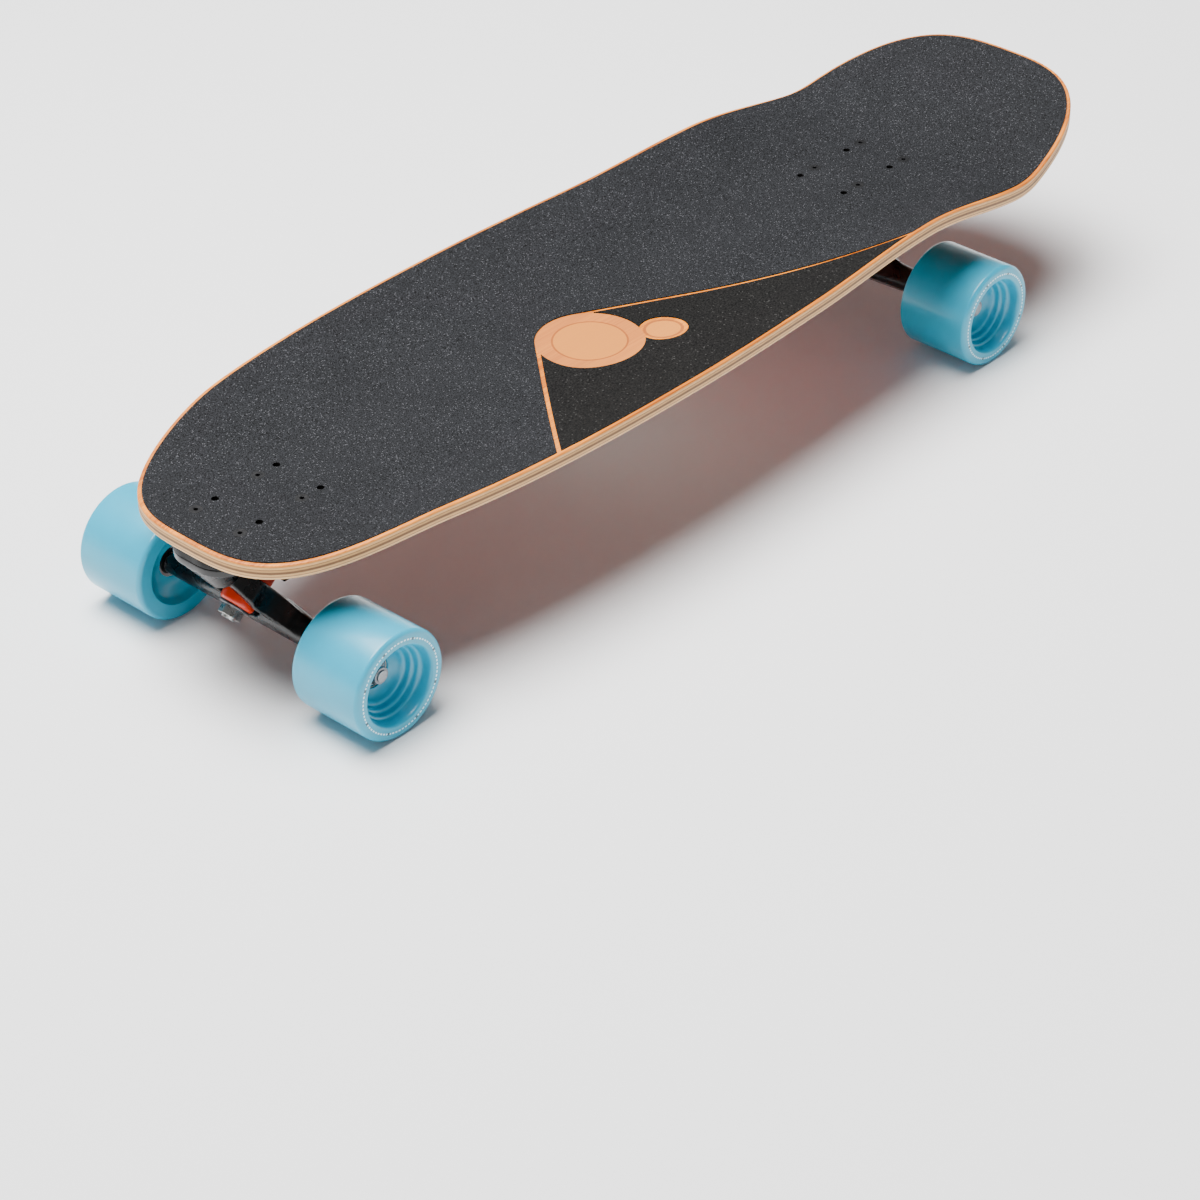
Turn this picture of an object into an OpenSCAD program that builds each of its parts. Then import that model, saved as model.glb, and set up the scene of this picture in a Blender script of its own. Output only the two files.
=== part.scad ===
// Cruiser longboard: pressed deck with a kicktail, two reverse-kingpin trucks,
// four urethane wheels on ball bearings. Millimetres, +Z up, +X towards the
// kicktail, origin on the ground under the middle of the deck's length.

/* [Deck plan] */
// Distance between the two axles
wheelbase = 620; // [560:5:700]
// Nose tip to the nose axle
nose_reach = 55; // [50:1:90]
// Tail tip to the tail axle
tail_reach = 180; // [150:1:200]
// Widest part of the deck
deck_width = 253; // [230:1:270]
// Width of the waist just ahead of the tail truck
waist_width = 230; // [200:1:240]
// Distance of the widest place ahead of the wheelbase's middle
belly_offset = 20; // [0:1:60]
// Distance of the waist behind the wheelbase's middle
waist_offset = 285; // [240:5:300]

/* [Deck section] */
// Thickness of the pressed core
core_t = 9.7; // [7:0.1:12]
// Thickness of each outer veneer
veneer_t = 0.8; // [0.5:0.1:1.5]
// Thickness of the grip sheet
grip_t = 0.8; // [0.6:0.1:1.2]
// Bare veneer left around the grip sheet
grip_margin = 3; // [2:0.5:8]
// Height of the deck's edge over its flat middle
concave = 13; // [4:0.5:18]
// Extra height of the edge at the waist
waist_lift = 4; // [0:0.5:6]
// Width of the flat middle that carries the trucks
flat_width = 72; // [66:2:84]
// Rise angle of the kicktail
kick_angle = 14; // [8:1:20]
// Bend radius at the foot of the kicktail
kick_radius = 130; // [100:5:200]
// Distance of the bend behind the tail axle
kick_start = 46; // [44:1:60]

/* [Grip inlay] */
// Diameter of the large bare disc
disc_d = 76.5; // [50:0.5:90]
// Diameter of the small bare disc
small_disc_d = 34.5; // [20:0.5:40]
// Width of the two bare lines
line_w = 3; // [2:0.5:6]
// Direction of the line towards the nose side, in degrees
nose_line_dir = 228.5; // [220:0.5:240]
// Direction of the line towards the tail side, in degrees
tail_line_dir = -28.5; // [-40:0.5:-20]

/* [Trucks] */
// Height of the axle over the baseplate's mounting face
truck_h = 62.9; // [60:0.1:70]
// Thickness of the riser pad
riser_t = 6; // [2:0.5:8]
// Steering axis above the deck's plane, in degrees
steer_angle = 50; // [47:1:52]
// Width of the hanger over its two axle shoulders
hanger_w = 165; // [150:1:185]
// Distance of the kingpin ring outboard of the axle
ring_u = 6; // [5:0.5:7]
// Height of the kingpin ring over the axle
ring_rise = 21.9; // [21:0.1:23]
// Hole spacing along the board
bolt_pitch_x = 53.975; // [53:0.005:55]
// Hole spacing across the board
bolt_pitch_y = 41.275; // [41:0.005:42]
// Shift of the spare holes towards the middle of the board
spare_shift = 16.6; // [14:0.1:20]
// Diameter of the truck mounting bolts
bolt_d = 4.8; // [4:0.1:5]
// Diameter of the kingpin
kingpin_d = 9.5; // [8:0.1:10]
// Diameter of the bushings next to the baseplate
board_bushing_d = 27; // [24:0.5:27.5]
// Diameter of the bushings next to the road
road_bushing_d = 24.6; // [22:0.2:27]

/* [Wheels] */
// Wheel diameter
wheel_d = 78; // [66:1:84]
// Wheel width
wheel_w = 60; // [54:1:64]
// Distance of the bearing seat inboard of the wheel's middle
hub_offset = 6.5; // [2:0.5:8]
// Diameter of the outer dish at the wheel's face
dish_d = 58; // [54:1:62]
// Axle diameter
axle_d = 7.94; // [7.9:0.01:7.96]

/* [Bearings] */
// Bearing outer diameter
bearing_od = 22; // [22:0.5:24]
// Bearing bore
bearing_id = 8; // [8:0.01:8.05]
// Bearing width
bearing_w = 7; // [7:0.1:7.5]
// Ball diameter
ball_d = 3.97; // [3.9:0.01:4]
// Balls in each bearing
ball_count = 7; // [6:1:7]
// Length of the spacer between a wheel's bearings
spacer_w = 10; // [8:0.5:11]

/* [Hidden] */
$fn = 64;
hull_fn = 32;
eps = 0.01;
slip = 0.03;          // radial clearance of a push fit
run = 0.08;           // radial clearance of a running fit
soft_gap = 0.2;       // rest gap between a bushing and the hanger
bolt_slack = 0.2;     // radial clearance of a bolt in its hole

// Heights
wheel_r = wheel_d / 2;
plate_z = wheel_r + truck_h;
deck_z = plate_z + riser_t;
core_z = deck_z + veneer_t;
veneer_z = core_z + core_t;
grip_z = veneer_z + veneer_t;
stack_t = veneer_t + core_t + veneer_t;

// Plan stations, along X from the middle of the deck's length
mid_x = (nose_reach - tail_reach) / 2;
belly_x = mid_x - belly_offset;
waist_x = mid_x + waist_offset;
nose_x = mid_x - wheelbase / 2 - nose_reach;
tail_x = mid_x + wheelbase / 2 + tail_reach;
belly_y = deck_width / 2;
waist_y = waist_width / 2;
tip_power = 2.4;      // roundness of the nose along X
kick_power = 3;       // roundness of the tail along X
tip_side = 0.31;      // fullness of the nose across Y
kick_side = 0.335;    // fullness of the tail across Y
tip_share = 0.12;     // half-width of the blunt tip, as a share of the end's

// Section of the deck
flat_y = flat_width / 2;
edge_power = 1.6;     // how late the concave rises towards the edge
nose_fade = [nose_x, nose_x + 131];
waist_rise = [mid_x + 120, mid_x + 235];
tail_fade = [mid_x + 245, mid_x + 385];
kick_x = mid_x + wheelbase / 2 + kick_start;

function clamp01(t) = min(1, max(0, t));
function smooth(t) = let (c = clamp01(t)) c * c * (3 - 2 * c);
function ramp(x, span) = smooth((x - span[0]) / (span[1] - span[0]));
function end_y(share, power, side) = pow(max(0, 1 - pow(share, power)), side);
// Half-width of the deck at a place along X
function half_w(x) =
    x < belly_x ? belly_y * end_y((belly_x - x) / (belly_x - nose_x), tip_power, tip_side)
    : x < waist_x ? belly_y - (belly_y - waist_y) * ramp(x, [belly_x, waist_x])
    : waist_y * end_y((x - waist_x) / (tail_x - waist_x), kick_power, kick_side);
// Height of the edge over the flat middle
function edge_lift(x) =
    (concave + waist_lift * ramp(x, waist_rise)) * ramp(x, nose_fade) * (1 - ramp(x, tail_fade));
// Height of the kicktail: an arc, then a straight slope
function kick_lift(x) =
    let (run_x = x - kick_x, arc_x = kick_radius * sin(kick_angle))
    run_x <= 0 ? 0
    : run_x < arc_x ? kick_radius - sqrt(kick_radius * kick_radius - run_x * run_x)
    : kick_radius * (1 - cos(kick_angle)) + (run_x - arc_x) * tan(kick_angle);

// Grid of the pressed sheets: rows along X, columns across Y
end_rows = 12;
mid_rows = 10;
// Angle along an end's curve, from its blunt tip (share 0) to its full width (share 1)
function end_angle(share, side) =
    let (tip = asin(pow(tip_share, 1 / (2 * side)))) tip + (90 - tip) * share;
function end_x(share, length, power, side) = length * pow(cos(end_angle(share, side)), 2 / power);
nose_rows = [for (k = [0 : end_rows - 1])
    belly_x - end_x(pow(k / end_rows, 1.25), belly_x - nose_x, tip_power, tip_side)];
tail_rows = [for (k = [end_rows - 1 : -1 : 0])
    waist_x + end_x(pow(k / end_rows, 1.25), tail_x - waist_x, kick_power, kick_side)];
belly_rows = [for (k = [0 : mid_rows]) belly_x + (waist_x - belly_x) * k / mid_rows];
rows = concat(nose_rows, belly_rows, tail_rows);
// Columns: two over the flat middle, the rest up the concave, as shares
rise_shares = [0.28, 0.52, 0.75, 1];
function side_ys(hw) = let (f = min(flat_y, hw / 2))
    concat([f / 2, f], [for (s = rise_shares) f + (hw - f) * s]);
function row_ys(hw) = let (ys = side_ys(hw), n = len(ys))
    concat([for (k = [n - 1 : -1 : 0]) -ys[k]], [0], ys);
function row_dz(x, hw) = let (up = concat([0, 0], [for (s = rise_shares) pow(s, edge_power)]), n = len(up))
    let (half = [for (s = up) kick_lift(x) + edge_lift(x) * s])
    concat([for (k = [n - 1 : -1 : 0]) half[k]], [kick_lift(x)], half);

// Trucks
ring_w = truck_h - ring_rise;
plate_t = 6;          // thickness of the baseplate's flange
plate_in = bolt_pitch_x / 2 + 12.5;   // flange reach towards the middle of the board
plate_out = bolt_pitch_x / 2 + 26;    // flange reach towards the tip
plate_half = bolt_pitch_y / 2 + 8.9;  // half-width of the flange
corner_in = 8;
corner_out = 22;
hole_r = bolt_d / 2 + bolt_slack;
nut_af = 9.5;
nut_t = 4.5;
nut_room = 6.4;       // radius kept clear for a nut and its socket
head_r = 4.6;         // countersunk head
head_t = 2.6;
pivot_r = 7.5;        // pivot nose at its root
pivot_tip_r = 6;
pivot_s = 26;         // root of the pivot nose along the steering axis
pivot_tip_s = 33;     // centre of its round tip
cup_wall = 3;
cup_s = [27.5, 41.5]; // span of the pivot cup along the steering axis
dome_wall = 3.6;
dome_r = 19;
ring_q = [-5, 13];    // span of the hanger's plate along the kingpin
seat_q = [-3.5, 4.5]; // ring web between the two bushing seats
ring_hole_r = 8.4;
recess_r = road_bushing_d / 2 + 3.7;
board_seat_r = board_bushing_d / 2 + 0.8;
leg_y = board_seat_r + 6.2;     // outer edge of the hanger's legs at the ring
leg_root_y = pivot_r + 1.5;     // and at the pivot
board_bushing_t = 15.2;
road_bushing_t = 11.8;
washer_t = 1.6;
washer_board_r = board_bushing_d / 2 - 0.9;
washer_road_r = road_bushing_d / 2 - 1.3;
kingpin_af = 14.3;
kingpin_nut_t = 6.5;
kingpin_head_t = 6;
tower_t = 12.4;       // metal under the bushing seat
tower_half = board_bushing_d / 2 + 1;
slot_half = kingpin_af / 2 / cos(30) + 0.35;    // half-width of the slot for the kingpin's head
wall_half = tower_half + 5;
collar_r = 8.2;       // round end of the hanger
axle_nut_af = 12.7;
speed_ring_t = 1;

board_bushing_q = [seat_q[0] - soft_gap - board_bushing_t, seat_q[0] - soft_gap];
board_washer_q = [board_bushing_q[0] - washer_t, board_bushing_q[0]];
road_bushing_q = [seat_q[1] + soft_gap, seat_q[1] + soft_gap + road_bushing_t];
road_washer_q = [road_bushing_q[1], road_bushing_q[1] + washer_t];
kingpin_nut_q = [road_washer_q[1], road_washer_q[1] + kingpin_nut_t];
kingpin_head_q = board_washer_q[0] - tower_t;
tower_q = board_washer_q[0];
wall_q = -12.8;       // top of the side walls, clear of the steering hanger
// The axle seen from the kingpin ring: along the steering axis and the kingpin
axle_s = -ring_u * cos(steer_angle) - (truck_h - ring_w) * sin(steer_angle);
axle_q = -ring_u * sin(steer_angle) + (truck_h - ring_w) * cos(steer_angle);
// A place given along the steering axis and the kingpin, as [outboard, down]
function from_ring(s, q) = [
    ring_u + s * cos(steer_angle) + q * sin(steer_angle),
    ring_w - s * sin(steer_angle) + q * cos(steer_angle)];

// Wheels and bearings, from the axle shoulder outwards
shoulder_y = hanger_w / 2;
hub_y = shoulder_y + speed_ring_t + bearing_w + spacer_w / 2;
bearing_off = (spacer_w + bearing_w) / 2;
nut_y = hub_y + spacer_w / 2 + bearing_w + speed_ring_t;
axle_nut_t = 6.5;
axle_end_y = nut_y + axle_nut_t + 1;
face_out = wheel_w / 2 + hub_offset;
face_in = -wheel_w / 2 + hub_offset;
core_half = spacer_w / 2 + bearing_w + 0.3;
core_r = bearing_od / 2 + 6;
core_rib_r = core_r + 2;
dish_r = dish_d / 2;
tread_round = min(4, 0.6 * (wheel_r - dish_r));
side_hole_r = bearing_od / 2 + 0.2;
pitch_r = (bearing_id + bearing_od) / 4;
ball_r = ball_d / 2;
groove_depth = 0.45;
inner_land_r = pitch_r - ball_r + groove_depth;
outer_land_r = pitch_r + ball_r - groove_depth;
race_edge = 0.3;
shield_in = bearing_w / 2 - 0.6;    // shield's inner face, from the bearing's middle
shield_t = 0.35;
speed_ring_r = inner_land_r - 0.4;
cage_web = 0.5;
cage_open = 0.9;

ENDS = ["nose", "tail"];
SIDES = ["right", "left"];
CORNERS = [for (e = ENDS, s = SIDES) str(e, "_", s)];
END_PARTS = ["riser_pad_", "baseplate_", "pivot_cup_", "kingpin_", "board_bushing_", "road_bushing_",
    "board_washer_", "road_washer_", "hanger_", "axle_", "axle_nuts_", "speed_rings_",
    "bearing_inner_races_", "bearing_spacers_"];
CORNER_PARTS = ["tyre_", "wheel_core_", "bearing_outer_races_", "bearing_shields_",
    "bearing_balls_", "bearing_cages_"];

// ---------- placing ----------
function end_sign(e) = e == "nose" ? -1 : 1;
function corner_end(c) = c[0] == "n" ? -1 : 1;
function corner_side(c) = c[5] == "r" ? -1 : 1;

// Truck frame: +X outboard, +Z away from the deck, origin on the mounting face
module at_truck(end) {
    translate([mid_x + end * wheelbase / 2, 0, plate_z])
        rotate(end > 0 ? [180, 0, 0] : [0, 180, 0]) children();
}
// Ring frame: +X along the steering axis to the pivot, +Z along the kingpin
module at_ring(end) {
    at_truck(end) translate([ring_u, 0, ring_w]) rotate([0, steer_angle, 0]) children();
}
// Axle frame: +Z along the axle towards the given side, origin on the board's middle
module at_axle(end, side) {
    translate([mid_x + end * wheelbase / 2, 0, wheel_r]) rotate([-90 * side, 0, 0]) children();
}
module at_bolts(shift = 0) {
    for (end = [-1, 1], i = [-1, 1], j = [-1, 1])
        translate([mid_x + end * (wheelbase / 2 - shift) + i * bolt_pitch_x / 2,
                   j * bolt_pitch_y / 2, 0]) children();
}
module tube(r_out, r_in, h) {
    difference() {
        cylinder(r = r_out, h = h);
        translate([0, 0, -1]) cylinder(r = r_in, h = h + 2);
    }
}
module hex_nut(af, bore_r, h) {
    difference() {
        cylinder(d = af / cos(30), h = h, $fn = 6);
        translate([0, 0, -1]) cylinder(r = bore_r, h = h + 2);
    }
}
module span(range) { translate([0, 0, range[0]]) children(); }
function len_of(range) = range[1] - range[0];

// ---------- deck ----------
// One pressed sheet that follows the deck's shape, from height z0 to z1
module sheet(z0, z1) {
    n = len(rows);
    m = len(row_ys(1));
    function layer(z) = [for (x = rows) let (hw = half_w(x), ys = row_ys(hw), dz = row_dz(x, hw))
        for (k = [0 : m - 1]) [x, ys[k], z + dz[k]]];
    function at(layer, i, k) = layer * n * m + i * m + k;
    top = [for (i = [0 : n - 2], k = [0 : m - 2]) each [
        [at(1, i, k), at(1, i, k + 1), at(1, i + 1, k + 1)],
        [at(1, i, k), at(1, i + 1, k + 1), at(1, i + 1, k)]]];
    bottom = [for (i = [0 : n - 2], k = [0 : m - 2]) each [
        [at(0, i, k), at(0, i + 1, k + 1), at(0, i, k + 1)],
        [at(0, i, k), at(0, i + 1, k), at(0, i + 1, k + 1)]]];
    sides = [for (i = [0 : n - 2], k = [0, m - 1]) let (
            a = at(0, i, k), b = at(0, i + 1, k), c = at(1, i + 1, k), d = at(1, i, k))
        k == 0 ? [a, d, c, b] : [a, b, c, d]];
    tips = [for (i = [0, n - 1], k = [0 : m - 2]) let (
            a = at(0, i, k), b = at(0, i, k + 1), c = at(1, i, k + 1), d = at(1, i, k))
        i == 0 ? [a, b, c, d] : [a, d, c, b]];
    polyhedron(concat(layer(z0), layer(z1)), concat(top, bottom, sides, tips), convexity = 4);
}
module bolt_holes(z, h) {
    for (shift = [0, spare_shift]) at_bolts(shift) translate([0, 0, z]) cylinder(r = hole_r, h = h);
}
module head_sinks() {
    at_bolts() translate([0, 0, grip_z + grip_t - head_t])
        cylinder(r1 = hole_r, r2 = head_r + run, h = head_t + eps);
}
module ply(z, t) {
    difference() {
        sheet(z, z + t);
        bolt_holes(z - concave, t + 2 * concave);
        head_sinks();
    }
}
module deck_core() { color("burlywood") ply(core_z, core_t); }
module deck_top_veneer() { color("sandybrown") ply(veneer_z, veneer_t); }
module deck_bottom_veneer() { color("saddlebrown") ply(deck_z, veneer_t); }

// Outline of the grip sheet, set in from the deck's edge
module grip_outline() {
    steps = 24;
    function y_share(k, side) = pow(sin(end_angle(k / steps, side)), 2 * side);
    nose = [for (k = [0 : steps])
        [belly_x - end_x(k / steps, belly_x - nose_x - grip_margin, tip_power, tip_side),
         (belly_y - grip_margin) * y_share(k, tip_side)]];
    belly = [for (k = [1 : steps - 1]) let (x = belly_x + (waist_x - belly_x) * k / steps)
        [x, half_w(x) - grip_margin]];
    tail = [for (k = [steps : -1 : 0])
        [waist_x + end_x(k / steps, tail_x - waist_x - grip_margin, kick_power, kick_side),
         (waist_y - grip_margin) * y_share(k, kick_side)]];
    far = concat(nose, belly, tail);
    polygon(concat(far, [for (k = [len(far) - 1 : -1 : 0]) [far[k][0], -far[k][1]]]));
}
disc_at = [mid_x - 14, -24.5];
function unit(a) = [cos(a), sin(a)];
small_disc_at = disc_at + (disc_d / 2 + small_disc_d / 2 - line_w) * unit(-32.2);
reach = 2 * deck_width;
// The part of the plan between the two lines, which leave the large disc along
// its tangents; inset is the distance of its sides inside those tangents
module between_lines(inset = 0) {
    from_disc = disc_d / 2 - inset;
    nose_touch = disc_at + from_disc * unit(nose_line_dir - 90);
    tail_touch = disc_at + from_disc * unit(tail_line_dir + 90);
    polygon([disc_at, nose_touch, nose_touch + reach * unit(nose_line_dir),
        tail_touch + reach * unit(tail_line_dir), tail_touch]);
}
module bare_discs() {
    translate(disc_at) circle(d = disc_d);
    translate(small_disc_at) circle(d = small_disc_d);
}
module grip_piece() {
    difference() {
        intersection() {
            sheet(grip_z, grip_z + grip_t);
            translate([0, 0, deck_z]) linear_extrude(4 * stack_t) children();
        }
        bolt_holes(grip_z - concave, grip_t + 2 * concave);
        head_sinks();
    }
}
module grip_tape() {
    color([0.2, 0.2, 0.22]) grip_piece() difference() {
        grip_outline();
        between_lines();
        bare_discs();
    }
}
module grip_inset() {
    color([0.13, 0.13, 0.13]) grip_piece() difference() {
        intersection() {
            grip_outline();
            between_lines(line_w);
        }
        bare_discs();
    }
}

// ---------- mounting hardware ----------
bolt_len = grip_t + stack_t + riser_t + plate_t + nut_t + 1;
module mounting_bolts() {
    color("black") at_bolts() translate([0, 0, grip_z + grip_t]) difference() {
        union() {
            translate([0, 0, -head_t]) cylinder(r1 = bolt_d / 2, r2 = head_r, h = head_t);
            translate([0, 0, -bolt_len]) cylinder(d = bolt_d, h = bolt_len - eps);
        }
        translate([0, 0, -head_t + 0.4]) cylinder(d = 3.6, h = head_t, $fn = 6);
    }
}
module mounting_nuts() {
    color("black") at_bolts() translate([0, 0, plate_z - plate_t - nut_t])
        hex_nut(nut_af, bolt_d / 2 + slip, nut_t);
}

// ---------- truck, fixed to the deck ----------
module plate_outline() {
    translate([-plate_in + corner_in, -plate_half])
        square([plate_in - corner_in + plate_out - corner_out, 2 * plate_half]);
    translate([-plate_in, -plate_half + corner_in])
        square([corner_in + eps, 2 * (plate_half - corner_in)]);
    translate([plate_out - corner_out - eps, -plate_half + corner_out])
        square([corner_out + eps, 2 * (plate_half - corner_out)]);
    for (j = [-1, 1]) {
        translate([-plate_in + corner_in, j * (plate_half - corner_in)]) circle(corner_in);
        translate([plate_out - corner_out, j * (plate_half - corner_out)]) circle(corner_out);
    }
}
module truck_holes(r, z, h) {
    for (i = [-1, 1], j = [-1, 1])
        translate([i * bolt_pitch_x / 2, j * bolt_pitch_y / 2, z]) cylinder(r = r, h = h);
}
module riser_pad(end) {
    color([0.1, 0.1, 0.1]) at_truck(end) translate([0, 0, -riser_t]) difference() {
        linear_extrude(riser_t) plate_outline();
        truck_holes(hole_r, -1, riser_t + 2);
    }
}
// A solid of revolution about the steering axis, in the ring frame
module about_steering() { rotate([0, 90, 0]) children(); }
module profile(points, thick) {
    rotate([90, 0, 0]) translate([0, 0, -thick / 2]) linear_extrude(thick) polygon(points);
}
cup_r = pivot_r + run + cup_wall;
module baseplate(end) {
    dome_top = pivot_r + cup_wall + dome_wall;
    head_room = 16;
    slot_depth = 22;
    color([0.07, 0.07, 0.07]) at_truck(end) difference() {
        union() {
            linear_extrude(plate_t) plate_outline();
            // Pivot housing
            hull() {
                translate([plate_out - dome_r, 0, 0]) cylinder(r = dome_r, h = plate_t, $fn = hull_fn);
                translate([ring_u, 0, ring_w]) rotate([0, steer_angle, 0]) about_steering()
                    translate([0, 0, cup_s[0]]) cylinder(r = dome_top, h = len_of(cup_s) / 2, $fn = hull_fn);
            }
            // Kingpin tower
            profile([[-plate_in + 2, 0], [-plate_in + 2, plate_t + 3], from_ring(-17, tower_q - 6),
                     from_ring(-15.5, tower_q), from_ring(18, tower_q), [12, plate_t], [12, 0]],
                    2 * tower_half);
            // Side walls that join the tower to the pivot housing
            profile([[-22, plate_t - 1], from_ring(-14, tower_q - 1), from_ring(-8, wall_q),
                     from_ring(22, wall_q), [24, plate_t + 4], [24, plate_t - 1]],
                    2 * wall_half);
        }
        // Room for the lower bushing between the side walls
        translate([ring_u, 0, ring_w]) rotate([0, steer_angle, 0]) {
            translate([-25, -tower_half - 0.6, tower_q]) cube([25 + cup_s[0], 2 * tower_half + 1.2, 40]);
            translate([0, 0, tower_q - tower_t - 1]) cylinder(d = kingpin_d + 2 * slip, h = tower_t + 2);
            // Slot for the kingpin's head, open towards the middle of the board
            translate([0, 0, kingpin_head_q - head_room]) cylinder(r = slot_half, h = head_room);
            translate([-60, -slot_half, kingpin_head_q - slot_depth]) cube([56, 2 * slot_half, slot_depth]);
            translate([cup_s[0], 0, 0]) about_steering() cylinder(r = cup_r, h = len_of(cup_s));
            translate([cup_s[0] - 20, 0, 0]) about_steering() cylinder(r = cup_r, h = 20 + eps);
        }
        truck_holes(hole_r, -1, plate_t + 2);
        truck_holes(nut_room, plate_t, 40);
        translate([-100, -100, -50]) cube([200, 200, 50]);
    }
}
module pivot_nose(gap) {
    translate([pivot_s - 6, 0, 0]) about_steering() cylinder(r = pivot_r + gap, h = 6 + eps);
    translate([pivot_s, 0, 0]) about_steering()
        cylinder(r1 = pivot_r + gap, r2 = pivot_tip_r + gap, h = pivot_tip_s - pivot_s);
    translate([pivot_tip_s, 0, 0]) sphere(r = pivot_tip_r + gap);
}
module pivot_cup(end) {
    color("dimgray") at_ring(end) difference() {
        translate([cup_s[0], 0, 0]) about_steering() cylinder(r = cup_r - slip, h = len_of(cup_s) - slip);
        pivot_nose(run);
    }
}
module kingpin(end) {
    tip_q = kingpin_nut_q[1] + 1.4;
    color("silver") at_ring(end) {
        translate([0, 0, kingpin_head_q]) cylinder(d = kingpin_d, h = tip_q - kingpin_head_q);
        translate([0, 0, kingpin_head_q - kingpin_head_t])
            cylinder(d = kingpin_af / cos(30), h = kingpin_head_t, $fn = 6);
    }
}
module kingpin_nuts() {
    color("silver") for (end = [-1, 1]) at_ring(end) span(kingpin_nut_q)
        hex_nut(kingpin_af, kingpin_d / 2 + slip, kingpin_nut_t);
}
// A bushing with a slightly waisted end next to the hanger
module bushing(d, h) {
    lip = 1.2;
    rotate_extrude() polygon([[kingpin_d / 2 + bolt_slack, 0], [d / 2 - lip, 0], [d / 2, lip],
        [d / 2, h - lip], [d / 2 - lip, h], [kingpin_d / 2 + bolt_slack, h]]);
}
module board_bushing(end) {
    color("orangered") at_ring(end) span(board_bushing_q) bushing(board_bushing_d, board_bushing_t);
}
module road_bushing(end) {
    color("orangered") at_ring(end) span(road_bushing_q) bushing(road_bushing_d, road_bushing_t);
}
module board_washer(end) {
    color("silver") at_ring(end) span(board_washer_q)
        tube(washer_board_r, kingpin_d / 2 + bolt_slack / 2, washer_t);
}
module road_washer(end) {
    color("silver") at_ring(end) span(road_washer_q)
        tube(washer_road_r, kingpin_d / 2 + bolt_slack / 2, washer_t);
}

// ---------- hanger ----------
// Outline of the hanger's plate: a beam, two fillets and two legs to the pivot
module leg_outline() {
    fillet = 22;
    beam_s = axle_s + 10;
    curve = [for (a = [0 : 15 : 90])
        [beam_s + fillet * (1 - sin(a)), leg_y + fillet * (1 - cos(a))]];
    half = concat([[pivot_s, leg_root_y]], curve, [[axle_s, leg_y + fillet]]);
    polygon(concat(half, [for (k = [len(half) - 1 : -1 : 0]) [half[k][0], -half[k][1]]]));
}
// Section of the plate across the board: its deck side rises into the beam's ends
module web_section() {
    web_y = 46;
    rotate([90, 0, 90]) translate([0, 0, -60]) linear_extrude(120) polygon([
        [-web_y, 0], [-leg_y, ring_q[0]], [leg_y, ring_q[0]], [web_y, 0],
        [web_y, ring_q[1]], [-web_y, ring_q[1]]]);
}
module hanger(end) {
    beam_half = 26;
    beam_r = 4;
    color([0.06, 0.06, 0.06]) at_ring(end) difference() {
        union() {
            // Beam, from a squarish middle to the round ends
            hull() {
                for (ds = [-6, 7], q = [ring_q[0] + beam_r, ring_q[1] - 1])
                    translate([axle_s + ds, beam_half, q])
                        rotate([90, 0, 0]) cylinder(r = beam_r, h = 2 * beam_half, $fn = hull_fn);
                for (j = [-1, 1]) translate([axle_s, j * (shoulder_y - 16), axle_q])
                    rotate([90, 0, 0]) cylinder(r = collar_r, h = 4, center = true, $fn = hull_fn);
            }
            translate([axle_s, shoulder_y, axle_q]) rotate([90, 0, 0]) cylinder(r = collar_r, h = hanger_w);
            difference() {
                intersection() {
                    span(ring_q) linear_extrude(len_of(ring_q)) leg_outline();
                    web_section();
                }
                // The legs slope down to the pivot
                translate([pivot_s, 0, pivot_r]) rotate([0, 14, 0])
                    translate([-30, -50, 0]) cube([60, 100, 30]);
            }
            pivot_nose(0);
        }
        translate([0, 0, seat_q[1]]) cylinder(r = recess_r, h = 30);
        translate([0, 0, seat_q[0] - 30]) cylinder(r = board_seat_r, h = 30);
        translate([0, 0, -30]) cylinder(r = ring_hole_r, h = 60);
        // Window between the legs
        translate([0, 0, -30]) linear_extrude(60)
            polygon([[recess_r - 3, 8.5], [pivot_s - 4, 3], [pivot_s - 4, -3], [recess_r - 3, -8.5]]);
        translate([axle_s, hanger_w, axle_q]) rotate([90, 0, 0])
            cylinder(d = axle_d + 2 * slip, h = 2 * hanger_w);
    }
}
module axle(end) {
    color("gray") at_axle(end, 1) translate([0, 0, -axle_end_y]) cylinder(d = axle_d, h = 2 * axle_end_y);
}
module on_both_sides(end) { for (side = [-1, 1]) at_axle(end, side) children(); }
module axle_nuts(end) {
    hex_t = axle_nut_t * 0.65;
    color("silver") on_both_sides(end) translate([0, 0, nut_y]) {
        hex_nut(axle_nut_af, axle_d / 2 + slip, hex_t);
        translate([0, 0, hex_t - eps]) tube(axle_nut_af / 2 - 0.4, axle_d / 2 + slip, axle_nut_t - hex_t);
    }
}
module speed_rings(end) {
    color("silver") on_both_sides(end) for (z = [shoulder_y, nut_y - speed_ring_t])
        translate([0, 0, z]) tube(speed_ring_r, axle_d / 2 + slip, speed_ring_t);
}
module bearing_spacers(end) {
    color("silver") on_both_sides(end) translate([0, 0, hub_y - spacer_w / 2])
        tube(speed_ring_r, axle_d / 2 + slip, spacer_w);
}

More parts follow.
